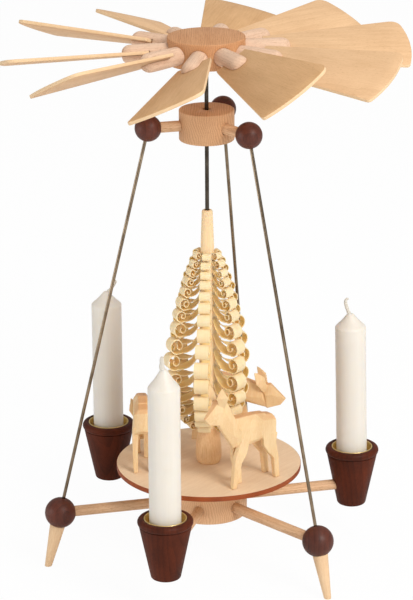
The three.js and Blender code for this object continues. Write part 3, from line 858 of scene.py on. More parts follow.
@dataclass
class Stand:
    """Two hubs, a glass bearing and three legs: feet, balls, wires and dowels."""

    leg_degs: Point = (90.0, 210.0, 330.0)
    holder_degs: Point = (30.0, 150.0, 270.0)
    ball_height: float = 25.6
    leg_circle: float = 69.3
    crown_height: float = 202.7
    crown_circle: float = 26.3
    lower_ball_radius: float = 7.0
    upper_ball_radius: float = 5.9
    wire_radius: float = 0.75
    wire_sink: float = 3.0
    wire_edge: float = 0.15
    wire_drill_sides: int = 24
    drill_length: float = 30.0
    soft_edge: float = 0.12
    wide_soft_edge: float = 0.15
    foot_top_radius: float = 3.45
    foot_edge: float = 0.4
    foot_end_radius: float = 1.215
    foot_excess: float = 4.0
    foot_seat: float = 5.9
    foot_sides: int = 56
    spigot_radius: float = 1.7
    spigot_end: float = 3.4
    spigot_edge: float = 0.3
    dowel_radius: float = 2.4
    dowel_in_ball: float = 3.5
    dowel_edge: float = 0.3
    base_hub_radius: float = 17.4
    base_hub_thickness: float = 12.6
    base_dowel_start: float = 10.5
    base_hub_stock: Point = (2.0, 5.0, 3.0)
    top_hub_radius: float = 12.2
    top_hub_thickness: float = 13.6
    top_dowel_start: float = 7.0
    top_hub_stock: Point = (4.0, 3.0, 60.0)
    hub_edge: float = 0.5
    hub_sides: int = 96
    top_bore_radius: float = 1.9
    bearing_radius: float = 2.5
    bearing_height: float = 5.0
    bearing_edge: float = 0.2
    dimple_radius: float = 1.6
    dimple_depth: float = 1.8
    stock: Stock = Stock((7.0, 11.0, 90.0), (2.0, 0.0, 37.0), 70.0, 40.0, 0.0)

    @property
    def lean_deg(self) -> float:
        """How far a leg leans in from upright."""
        rise = self.crown_height - self.ball_height
        return math.degrees(math.atan2(self.leg_circle - self.crown_circle, rise))

    @property
    def leg_length(self) -> float:
        """Distance between a leg's two balls."""
        return math.hypot(self.leg_circle - self.crown_circle, self.crown_height - self.ball_height)

    @property
    def leg_place(self) -> Matrix:
        """Takes a piece from the leg's own line to the first leg, before its turn."""
        return moved(self.leg_circle, 0, self.ball_height) @ turned_about("Y", -self.lean_deg)

    def foot(self) -> Piece:
        """The turned foot on the leg's line, with its tip cut level with the ground."""
        length = self.ball_height / math.cos(math.radians(self.lean_deg))
        edge = self.foot_edge
        shoulder = (self.foot_top_radius - edge, -self.foot_seat - edge)
        profile = [
            (self.foot_end_radius, -length - self.foot_excess),
            *arc(shoulder, edge, 0, 90, EDGE_STEPS),
            (self.spigot_radius, -self.foot_seat),
            (self.spigot_radius, -self.spigot_end - self.spigot_edge),
            (self.spigot_radius - self.spigot_edge, -self.spigot_end),
        ]
        foot = placed(turned("foot", profile, self.foot_sides), self.leg_place)
        with editing(foot):
            bpy.ops.mesh.bisect(
                plane_co=(0, 0, 0), plane_no=(0, 0, 1), use_fill=True, clear_inner=True
            )
        foot = placed(foot, self.leg_place.inverted())
        return smoothed(softened(foot, self.wide_soft_edge, limit_deg=35))

    def ball(self, radius: float, *tools: Piece) -> Piece:
        """A turned ball with its drilled holes, centred on the origin."""
        deselect_all()
        bpy.ops.mesh.primitive_uv_sphere_add(radius=radius * MM, segments=64, ring_count=32)
        ball = bpy.context.object
        return smoothed(softened(cut(ball, *tools), self.soft_edge), angle_deg=30)

    def foot_tool(self) -> Piece:
        """A drill for the foot's seat, on the leg's line."""
        wide, narrow = self.foot_top_radius + FIT, self.spigot_radius + FIT
        step, end = FIT - self.foot_seat, FIT - self.spigot_end
        profile = [(wide, -self.drill_length), (wide, step), (narrow, step), (narrow, end)]
        return turned("foot_tool", profile, sides=40)

    def dowel_tool(self) -> Piece:
        """A drill for a dowel, inwards along -X."""
        start = self.dowel_in_ball - FIT
        return placed(drill(self.dowel_radius + FIT, start, self.drill_length), INWARD)

    def hub(self, radius: float, thickness: float, sockets: Sequence[float], start: float) -> Piece:
        """A turned hub centred on the origin, with a socket at each angle.

        Args:
            radius: The hub's radius.
            thickness: The hub's thickness.
            sockets: The sockets' angles.
            start: Distance from the axis to a dowel's inner end.

        Returns:
            The hub.
        """
        tools = []
        for angle in sockets:
            tool = drill(self.dowel_radius + FIT, start - FIT, radius + PAST)
            tools.append(placed(tool, turned_about("Z", angle) @ ALONG))
        half = thickness / 2
        return cut(rod("hub", radius, -half, half, self.hub_edge, self.hub_sides), *tools)

    def build_hubs(self) -> None:
        """Models the two hubs."""
        sockets = [*self.leg_degs, *self.holder_degs]
        base = self.hub(
            self.base_hub_radius, self.base_hub_thickness, sockets, self.base_dowel_start
        )
        half = self.base_hub_thickness / 2
        seat = drill(self.bearing_radius + FIT, half - self.bearing_height, half + PAST)
        base = smoothed(softened(cut(base, seat), self.soft_edge))
        with_grain(base, self.base_hub_stock, ACROSS_GRAIN)
        placed(base, moved(0, 0, self.ball_height))
        base.name = "turned_base_hub"
        # The base hub wears the paler beech, a painted bounce light.
        keep(base, BASE_BEECH_PAINTED_BOUNCE, Body.STAND.value, Slot.BEECH, "base_hub")

        top = self.hub(
            self.top_hub_radius, self.top_hub_thickness, self.leg_degs, self.top_dowel_start
        )
        half = self.top_hub_thickness / 2
        bore = drill(self.top_bore_radius, -half - PAST, half + PAST)
        top = smoothed(softened(cut(top, bore), self.wide_soft_edge))
        with_grain(top, self.top_hub_stock, ACROSS_GRAIN)
        placed(top, moved(0, 0, self.crown_height))
        top.name = "turned_top_hub"
        keep(top, TOP_BEECH, Body.STAND.value, Slot.BEECH, "top_hub")

    def build_bearing(self) -> None:
        """Models the glass cup that the spindle's point turns in."""
        rim = self.ball_height + self.base_hub_thickness / 2
        radius, edge = self.bearing_radius, self.bearing_edge
        profile = [
            (radius - edge, rim - self.bearing_height),
            (radius, rim - self.bearing_height + edge),
            (radius, rim - edge),
            (radius - edge, rim),
            (self.dimple_radius, rim),
            (0.5 * self.dimple_radius, rim - 0.6 * self.dimple_depth),
            (0.1, rim - self.dimple_depth),
        ]
        bearing = smoothed(turned("glass_cup_bearing", profile, sides=48))
        with_grain(bearing, (0, 0, 0))
        keep(bearing, GLASS, Body.STAND.value, Slot.GLASS, "glass_bearing")

    def build_legs(self) -> None:
        """Models one leg's pieces and copies them to the three legs."""
        lean = turned_about("Y", -self.lean_deg)
        sink, hole, sides = self.wire_sink, self.wire_radius + FIT, self.wire_drill_sides
        low_drill = drill(hole, sink - FIT, self.drill_length, sides)
        high_drill = drill(hole, -self.drill_length, FIT - sink, sides)
        low_tools = [placed(self.foot_tool(), lean), placed(low_drill, lean), self.dowel_tool()]
        lower_ball = self.ball(self.lower_ball_radius, *low_tools)
        upper_ball = self.ball(
            self.upper_ball_radius, placed(high_drill, lean), self.dowel_tool()
        )
        wire = smoothed(rod("wire", self.wire_radius, sink, self.leg_length - sink, self.wire_edge))
        low_dowel, high_dowel = (
            smoothed(rod("dowel", self.dowel_radius, start, end, self.dowel_edge))
            for start, end in (
                (self.base_dowel_start, self.leg_circle - self.dowel_in_ball),
                (self.top_dowel_start, self.crown_circle - self.dowel_in_ball),
            )
        )
        low = moved(self.leg_circle, 0, self.ball_height)
        high = moved(self.crown_circle, 0, self.crown_height)
        low_line = moved(0, 0, self.ball_height) @ ALONG
        high_line = moved(0, 0, self.crown_height) @ ALONG
        pale, stained = Slot.PALE_WOOD, Slot.STAINED_WOOD
        self.stock.copies(
            (
                Kind("turned_foot", self.foot(), self.leg_place, FOOT_WOOD, pale, "foot"),
                Kind("lower_bead", lower_ball, low, BEAD_STAIN, stained, "lower_ball"),
                Kind("drawn_wire", wire, self.leg_place, STEEL, Slot.STEEL, "leg_wire"),
                Kind("upper_bead", upper_ball, high, BEAD_STAIN, stained, "upper_ball"),
                Kind("low_dowel", low_dowel, low_line, DOWEL_WOOD, pale, "leg_dowel"),
                Kind("high_dowel", high_dowel, high_line, DOWEL_WOOD, pale, "upper_dowel"),
            ),
            self.leg_degs,
        )

    def build(self) -> None:
        """Models the whole stand."""
        self.build_hubs()
        self.build_bearing()
        self.build_legs()


@dataclass
class CandleHolders:
    """Three arms with cups, brass liners and candles."""

    holder_degs: Point = (30.0, 150.0, 270.0)
    arm_height: float = 25.6
    circle: float = 68.2
    arm_radius: float = 2.4
    arm_start: float = 10.5
    arm_in_cup: float = 3.6
    arm_edge: float = 0.3
    cup_bottom: float = 15.9
    cup_top: float = 44.1
    cup_sides: int = 96
    cup_slack: float = 0.1
    cup_soft_edge: float = 0.12
    foot_radius: float = 6.7
    foot_round: float = 1.1
    top_radius: float = 12.25
    bead: float = 3.6
    bead_step: float = 0.7
    liner_radius: float = 9.4
    liner_wall: float = 0.5
    liner_edge: float = 0.3
    liner_depth: float = 9.0
    candle_radius: float = 7.0
    candle_sides: Point = (67.0, 67.0, 68.8)
    candle_foot: tuple[Ring, ...] = ((-0.6, 0.0), (-0.15, 0.2), (0.0, 0.7))
    candle_rings: int = 8
    shoulder_shares: tuple[Ring, ...] = (
        (1.0, 0.0), (0.97, 0.06), (0.86, 0.16), (0.68, 0.31), (0.49, 0.48), (0.31, 0.66),
        (0.16, 0.83), (0.05, 0.95), (0.0, 1.0),
    )
    seat_gap: float = 0.3
    lean_degs: Point = (1.2, 0.0, 0.0)
    neck_radii: Point = (1.75, 1.5, 1.5)
    neck_rises: Point = (5.9, 5.9, 8.2)
    neck_cap: tuple[Ring, ...] = ((0.85, 0.3), (0.55, 0.5))
    wick_deg: float = 16.2
    wick_paths: tuple[tuple[Point, ...], ...] = (
        ((-0.3, 71.4, 1.1), (-0.55, 73.2, 0.95), (-1.2, 75.2, 0.8), (-1.8, 77.3, 0.85),
         (-2.1, 79.1, 0.75), (-1.6, 80.4, 0.6), (-0.7, 80.6, 0.4)),
        ((0.2, 71.4, 0.95), (0.8, 73.3, 0.75), (2.1, 74.6, 0.6), (3.0, 75.9, 0.75),
         (3.9, 77.3, 0.7), (4.2, 78.3, 0.75), (3.6, 78.5, 0.45)),
        ((-0.1, 75.2, 1.35), (-0.4, 77.0, 1.25), (-0.8, 78.6, 1.15), (-0.6, 80.2, 1.05),
         (-0.75, 81.6, 0.95), (-0.45, 82.9, 0.7)),
    )
    stock: Stock = Stock((13.0, 6.0, 70.0), (5.0, 0.0, 31.0), 50.0, 0.0, 20.0)

    def cup(self) -> Piece:
        """The turned cup, upright on its own axis, with the hole for its arm."""
        bead_low, half_bead = self.cup_top - self.bead, self.bead / 2
        body = self.top_radius - self.bead_step
        mouth = self.liner_radius + self.cup_slack
        floor = self.cup_top - self.liner_depth - self.liner_wall - self.cup_slack
        floor_radius = self.candle_radius + self.seat_gap + self.liner_wall + self.cup_slack
        foot = (self.foot_radius - self.foot_round, self.cup_bottom + self.foot_round)
        bead = (self.top_radius - half_bead, self.cup_top - half_bead)
        profile = [
            (foot[0] - 0.4, self.cup_bottom + 0.12),
            *arc(foot, self.foot_round, -90, -12, steps=4),
            (body - 0.05, bead_low - 0.35),
            (body - 0.15, bead_low),
            *arc(bead, half_bead, -70, 78, steps=9),
            (mouth + 0.3, self.cup_top - 0.02),
            (mouth, self.cup_top - 0.25),
            (floor_radius, floor),
        ]
        tool = drill(self.arm_radius + FIT, self.arm_in_cup - FIT, self.top_radius + PAST)
        tool = placed(tool, moved(0, 0, self.arm_height) @ INWARD)
        cup = cut(turned("cup", profile, self.cup_sides), tool)
        return smoothed(softened(cup, self.cup_soft_edge), angle_deg=40)

    def liner(self) -> Piece:
        """The spun brass liner, on the cup's axis."""
        floor = self.cup_top - self.liner_depth
        inner, wall, edge = self.candle_radius + self.seat_gap, self.liner_wall, self.liner_edge
        rim = (self.liner_radius - wall / 2, self.cup_top - wall / 2)
        profile = [
            (inner + wall - edge, floor - wall),
            (inner + wall, floor - wall + edge),
            (self.liner_radius - 0.05, self.cup_top - edge),
            *arc(rim, wall / 2, 0, 180, steps=6),
            (inner + 0.25, floor + 0.5),
            (inner - edge, floor),
        ]
        return smoothed(turned("liner", profile, self.cup_sides), angle_deg=50)

    def candle(self, index: int) -> Piece:
        """One candle's wax, standing on the origin."""
        side, radius = self.candle_sides[index], self.candle_radius
        rise, neck = self.neck_rises[index], self.neck_radii[index]
        foot = [(radius + inward, height) for inward, height in self.candle_foot]
        start = self.candle_foot[-1][1]
        step = (side - start) / self.candle_rings
        rings = [(radius, start + step * number) for number in range(1, self.candle_rings)]
        shoulder = [
            (neck + outward * (radius - neck), side + upward * rise)
            for outward, upward in self.shoulder_shares
        ]
        cap = [(share * neck, side + rise + height) for share, height in self.neck_cap]
        return smoothed(turned("candle", [*foot, *rings, *shoulder, *cap]), angle_deg=40)

    def wick(self, index: int) -> Piece:
        """One candle's waxed wick, on the candle's own axis, bent as it was dipped."""
        turn = math.radians(self.wick_deg)
        path, radii = [], []
        for sideways, height, radius in self.wick_paths[index]:
            path.append((sideways * math.cos(turn), sideways * math.sin(turn), height))
            radii.append(radius)
        return smoothed(drawn_cord("wick", path, radii), angle_deg=60)

    def build_holders(self) -> None:
        """Models an arm, a cup and a liner, and copies them to the three places."""
        arm_end = self.circle - self.arm_in_cup
        arm = smoothed(rod("arm", self.arm_radius, self.arm_start, arm_end, self.arm_edge))
        at_cup, line = moved(self.circle, 0, 0), moved(0, 0, self.arm_height) @ ALONG
        cup, liner = self.cup(), self.liner()
        self.stock.copies(
            (
                Kind("cup_arm", arm, line, DOWEL_WOOD, Slot.PALE_WOOD, "candle_arm"),
                Kind("turned_cup", cup, at_cup, STAINED, Slot.STAINED_WOOD, "candle_cup"),
                Kind("spun_liner", liner, at_cup, BRASS, Slot.BRASS, "brass_liner"),
            ),
            self.holder_degs,
        )

    def build_candles(self) -> None:
        """Models each candle with its own wick and stands it in its liner."""
        base = self.cup_top - self.liner_depth + self.seat_gap
        for index, angle in enumerate(self.holder_degs):
            upright = turned_about("Z", angle) @ moved(self.circle, 0, base)
            place = upright @ turned_about("Y", -self.lean_degs[index]) @ turned_about("Z", -angle)
            number = index + 1
            for name, piece, finish, nodes in (
                (f"dipped_candle_{number}", self.candle(index), WAX, (f"candle_{number}",)),
                (f"wick_{number}", self.wick(index), COTTON, ()),
            ):
                piece.name = name
                with_grain(piece, (20.0 * index, 5.0, 10.0 * index))
                placed(piece, place)
                keep(piece, finish, f"{Body.CANDLE.value}{number}", Slot.WAX, *nodes)

    def build(self) -> None:
        """Models the holders and their candles."""
        self.build_holders()
        self.build_candles()


@dataclass
class ShavedTree:
    """A turned stem whose shavings are left on and rolled up, in six columns."""

    table_top: float = 43.5
    stem_top: float = 163.5
    stem_top_radius: float = 2.43
    stem_tip: tuple[Ring, ...] = ((0.0, 0.8), (0.25, 0.2), (0.6, 0.0))
    core_top: float = 143.8
    core_top_radius: float = 3.1
    core_bottom_radius: float = 4.5
    trunk_top: float = 61.0
    trunk_top_radius: float = 4.7
    trunk_rings: tuple[Ring, ...] = ((4.7, 0.0), (5.2, 0.5), (5.75, 2.4), (5.95, 4.5), (5.7, 9.0))
    trunk_step: float = 1.0
    finish_margin: float = 0.1
    bore_radius: float = 1.2
    columns: int = 6
    first_column_deg: float = 281.2
    column_drift_deg: float = -0.45
    tier_tops: tuple[float, ...] = (
        144.8, 141.4, 137.6, 133.8, 129.4, 124.8, 119.0, 113.2, 106.0, 98.4, 90.4, 82.2, 75.2, 69.0,
        64.6, 61.0,
    )
    tier_reaches: tuple[float, ...] = (
        6.6, 8.3, 9.9, 11.4, 12.9, 14.5, 16.1, 17.7, 19.3, 20.2, 20.3, 19.6, 17.4, 13.6, 9.8,
    )
    top_width: float = 4.2
    bottom_width: float = 7.4
    thickness: float = 0.38
    masters: int = 3
    column_sizes: tuple[float, ...] = (1.0, 0.96, 0.935, 0.98, 1.0, 0.985)
    curl_reach_share: float = 0.4
    curl_rise_share: float = 0.47
    curl_start_deg: float = -112.0
    curl_turns: Span = (1.35, 1.75)
    curl_open_turns: float = 0.32
    curl_close_turns: float = 0.7
    curl_inner_shares: Span = (0.36, 0.5)
    curl_drift_shares: Span = (0.04, 0.2)
    curl_end_share: float = 0.12
    curl_steps: int = 34
    lead_steps: int = 9
    lead_rise_share: float = 1.2
    lead_knee_share: float = 0.24
    lead_sag_share: float = 0.05
    root_sink: float = 0.6
    side_fit_share: float = 0.52
    seed: int = 11
    angle_play_deg: float = 0.9
    size_play: Span = (0.975, 1.02)
    nod_play_deg: float = 2.0
    twist_play_deg: float = 2.5
    rise_play: Span = (0.97, 1.02)
    grain_play: Point = (40.0, 40.0, 90.0)

    def core_radius_at(self, height: float) -> float:
        """The stem's radius at a height."""
        share = (self.core_top - height) / (self.core_top - self.trunk_top)
        share = min(max(share, 0.0), 1.0)
        return self.core_top_radius + share * (self.core_bottom_radius - self.core_top_radius)

    def stem(self) -> Piece:
        """The turned stem with its trunk, dressed in the finishes that the tree wears."""
        width, top = self.stem_top_radius, self.stem_top
        profile = [
            *((radius, self.table_top + rise) for radius, rise in self.trunk_rings),
            (self.trunk_top_radius, self.trunk_top),
            (self.core_bottom_radius, self.trunk_top + self.trunk_step),
            (self.core_top_radius, self.core_top),
            *((width - inward, top - back) for inward, back in self.stem_tip),
        ]
        bore = drill(self.bore_radius, self.table_top - PAST, self.stem_top + PAST, sides=24)
        stem = smoothed(cut(turned("stem", profile, sides=48), bore), angle_deg=40)
        dressed(with_grain(stem, (0, 0, 0)), SHAVING_OUT, SHAVING_IN_PAINTED_BOUNCE)
        low = (self.trunk_top + self.finish_margin) * MM
        high = (self.core_top - self.finish_margin) * MM
        dressed_where(stem, TRUNK_WOOD, lambda co, _: co.z < low)
        return dressed_where(stem, STEM_WOOD, lambda co, _: co.z > high)

    def path(self, tier: int, chance: random.Random) -> list[Ring]:
        """The line of a tier's shavings: down beside the stem, out, and rolled up and in.

        Args:
            tier: The tier's number from the top.
            chance: Draws how tightly the shaving is rolled up.

        Returns:
            Distance from the tree's axis and height of each point.
        """
        top, bottom = self.tier_tops[tier], self.tier_tops[tier + 1]
        pitch = top - bottom
        reach, rise = self.curl_reach_share * pitch, self.curl_rise_share * pitch
        turns = chance.uniform(*self.curl_turns)
        inner = chance.uniform(*self.curl_inner_shares)
        drift = pitch * chance.uniform(*self.curl_drift_shares)
        curl = []
        for step in range(self.curl_steps + 1):
            rolled = turns * step / self.curl_steps
            turn = math.radians(self.curl_start_deg + 360 * rolled)
            share = min(max((rolled - self.curl_open_turns) / self.curl_close_turns, 0.0), 1.0)
            share = share * share * (3 - 2 * share)
            size = 1 - (1 - inner) * share - self.curl_end_share * max(rolled - 1, 0.0)
            curl.append((
                self.tier_reaches[tier] - reach - drift * share + reach * size * math.cos(turn),
                bottom + rise + rise * size * math.sin(turn),
            ))
        root = self.core_radius_at(bottom) - self.root_sink
        start = Vector((root, bottom + self.lead_rise_share * pitch))
        end = Vector(curl[0])
        out = start.x + self.lead_knee_share * (end.x - start.x)
        knee = Vector((out, bottom - self.lead_sag_share * pitch))
        lead = []
        for step in range(self.lead_steps):
            share = step / self.lead_steps
            lead.append(tuple(start.lerp(knee, share).lerp(knee.lerp(end, share), share)))
        return [*lead, *curl]

    def shaving(self, tier: int, chance: random.Random) -> Piece:
        """A tier's shaving in the plane of X and Z: an edge is extruded along its line.

        Args:
            tier: The tier's number from the top.
            chance: Draws how tightly it is rolled up.

        Returns:
            The shaving, with its thickness.
        """
        share = tier / (len(self.tier_reaches) - 1)
        full = self.top_width + share * (self.bottom_width - self.top_width)
        fit = 2 * math.tan(math.pi / self.columns) * self.side_fit_share
        path = self.path(tier, chance)
        widths = [min(full, fit * reach) for reach, _ in path]
        deselect_all()
        bpy.ops.mesh.primitive_plane_add(size=widths[0] * MM)
        strip = bpy.context.object
        start = ((path[0][0] + widths[0] / 2) * MM, 0, path[0][1] * MM)
        with editing(strip):
            pick(strip, "VERT", lambda co, _: co.x > 0)
            bpy.ops.mesh.delete(type="VERT")
            bpy.ops.mesh.select_all(action="SELECT")
            bpy.ops.transform.translate(value=start)
            for index in range(1, len(path)):
                (from_reach, from_height), (reach, height) = path[index - 1], path[index]
                step = ((reach - from_reach) * MM, 0, (height - from_height) * MM)
                bpy.ops.mesh.extrude_region_move(TRANSFORM_OT_translate={"value": step})
                ratio = widths[index] / widths[index - 1]
                bpy.ops.transform.resize(value=(1, ratio, 1), center_override=(0, 0, 0))
        if strip.data.polygons[0].normal.z > 0:
            with editing(strip):
                bpy.ops.mesh.flip_normals()
        # The solidified other face wears the inside finish, with its painted warm bounce light.
        self.mark_strip(dressed(strip, SHAVING_OUT, SHAVING_IN_PAINTED_BOUNCE), path)
        applied(strip, "SOLIDIFY", thickness=self.thickness * MM, offset=0, material_offset=1)
        return smoothed(strip, angle_deg=45)

    @staticmethod
    def mark_strip(strip: Piece, path: Sequence[Ring]) -> None:
        """Keeps how far along the shaving each corner lies, for its fibres."""
        lengths = [0.0]
        for before, after in zip(path, path[1:]):
            lengths.append(lengths[-1] + math.dist(before, after))
        layer = strip.data.attributes.new("grain", "FLOAT_VECTOR", "POINT")
        for corner in strip.data.vertices:
            spot = (corner.co.x / MM, corner.co.z / MM)
            nearest = min(range(len(path)), key=lambda index: math.dist(path[index], spot))
            layer.data[corner.index].vector = (corner.co.y / MM, 0.0, lengths[nearest])

    def build(self) -> None:
        """Models the stem and one shaving a tier, and copies the shavings round the stem."""
        chance = random.Random(self.seed)
        pieces = [self.stem()]
        for tier in range(len(self.tier_reaches)):
            masters = [self.shaving(tier, chance) for _ in range(self.masters)]
            root = moved(0, 0, self.tier_tops[tier])
            for column in range(self.columns):
                angle = self.first_column_deg + tier * self.column_drift_deg
                angle += column * 360 / self.columns
                angle += chance.uniform(-self.angle_play_deg, self.angle_play_deg)
                size = self.column_sizes[column] * chance.uniform(*self.size_play)
                nod = turned_about("Y", chance.uniform(-self.nod_play_deg, self.nod_play_deg))
                twist = turned_about("X", chance.uniform(-self.twist_play_deg, self.twist_play_deg))
                scale = Matrix.Diagonal((size, size, chance.uniform(*self.rise_play), 1.0))
                shift = Vector([chance.uniform(0, play) for play in self.grain_play])
                piece = copied(masters[column % self.masters], "shaving")
                for item in piece.data.attributes["grain"].data:
                    item.vector = item.vector + shift
                tilt = root @ nod @ twist @ scale @ root.inverted()
                pieces.append(placed(piece, turned_about("Z", angle) @ tilt))
            discard(*masters)
        tree = joined("shaved_tree_look", pieces)
        keep(tree, SHAVING_OUT, Body.ROTOR.value, Slot.CARVED_WOOD, "shaved_tree")


@dataclass
class Rotor:
    """The spindle, the turntable and the three deer."""

    spindle_radius: float = 0.9
    spindle_tip_radius: float = 0.12
    spindle_foot: float = 30.4
    spindle_point: float = 2.2
    spindle_top: float = 239.15
    spindle_edge: float = 0.2
    table_radius: float = 42.0
    table_thickness: float = 2.3
    table_top: float = 43.5
    table_edge: float = 0.16
    table_bore: float = 1.0
    table_grain_deg: float = 24.0
    rim_width: float = 1.0
    deer_count: int = 3
    deer_voxel: float = 0.24
    deer_smoothing: int = 2
    deer_grain_deg: float = 12.0
    deer_stock: Point = (30.0, 12.0, 0.0)
    # Where the deer's painted top shade starts, by how far a face looks up, and how fast it grows.
    top_shade_start: float = 0.42
    top_shade_span: float = 0.4

    def build_spindle(self) -> None:
        """Models the spindle with its ground point."""
        radius, edge, shoulder = (
            self.spindle_radius, self.spindle_edge, self.spindle_foot + self.spindle_point
        )
        profile = [
            (self.spindle_tip_radius, self.spindle_foot),
            (radius - 0.08, shoulder - edge),
            (radius, shoulder),
            (radius, self.spindle_top - edge),
            (radius - edge, self.spindle_top),
        ]
        spindle = smoothed(turned("ground_spindle", profile, sides=40))
        with_grain(spindle, (0, 0, 0))
        keep(spindle, SPINDLE_STEEL, Body.ROTOR.value, Slot.STEEL, "spindle")

    def build_table(self) -> None:
        """Models the turntable and scorches its rim."""
        radius, edge = self.table_radius, self.table_edge
        low, high = self.table_top - self.table_thickness, self.table_top
        profile = [
            (radius - edge, low),
            (radius, low + edge),
            (radius, high - edge),
            (radius - edge, high),
        ]
        bore = drill(self.table_bore, low - PAST, high + PAST, sides=32)
        table = smoothed(cut(turned("round_table", profile, sides=160), bore))
        lie = turned_about("X", 90) @ turned_about("Z", self.table_grain_deg)
        with_grain(table, (0, 0, 0), lie)
        rim = (radius - self.rim_width) * MM
        dressed_where(
            dressed(table, TABLE_WOOD), SCORCHED,
            lambda co, normal: abs(normal.z) < SIDEWAYS and co.xy.length > rim,
        )
        keep(table, TABLE_WOOD, Body.ROTOR.value, Slot.TABLE_WOOD, "turntable")

    def mark_painted_top_shade(self, piece: Piece) -> None:
        """Keeps how far each corner looks up, for the painted shade on the deer's tops."""
        layer = piece.data.attributes.new("upward", "FLOAT", "POINT")
        for corner in piece.data.vertices:
            share = (corner.normal.z - self.top_shade_start) / self.top_shade_span
            layer.data[corner.index].value = min(max(share, 0.0), 1.0)

    def build_deer(self) -> None:
        """Rounds each deer's carved edges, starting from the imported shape."""
        for number in range(1, self.deer_count + 1):
            deer = copied(frame["nodes"][f"deer_{number}"], f"carved_deer_{number}")
            deer.parent = None
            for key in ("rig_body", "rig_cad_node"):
                if key in deer:
                    del deer[key]
            deer.data.materials.clear()
            faced_outwards(deer)
            applied(deer, "REMESH", mode="VOXEL", voxel_size=self.deer_voxel * MM)
            applied(deer, "SMOOTH", factor=0.5, iterations=self.deer_smoothing)
            bpy.ops.object.shade_smooth()
            self.mark_painted_top_shade(deer)
            shift = number * Vector(self.deer_stock)
            with_grain(deer, shift, turned_about("X", self.deer_grain_deg))
            keep(deer, CARVED, Body.ROTOR.value, Slot.CARVED_WOOD, f"deer_{number}")

    def build(self) -> None:
        """Models the turning pieces apart from the tree."""
        self.build_spindle()
        self.build_table()
        self.build_deer()


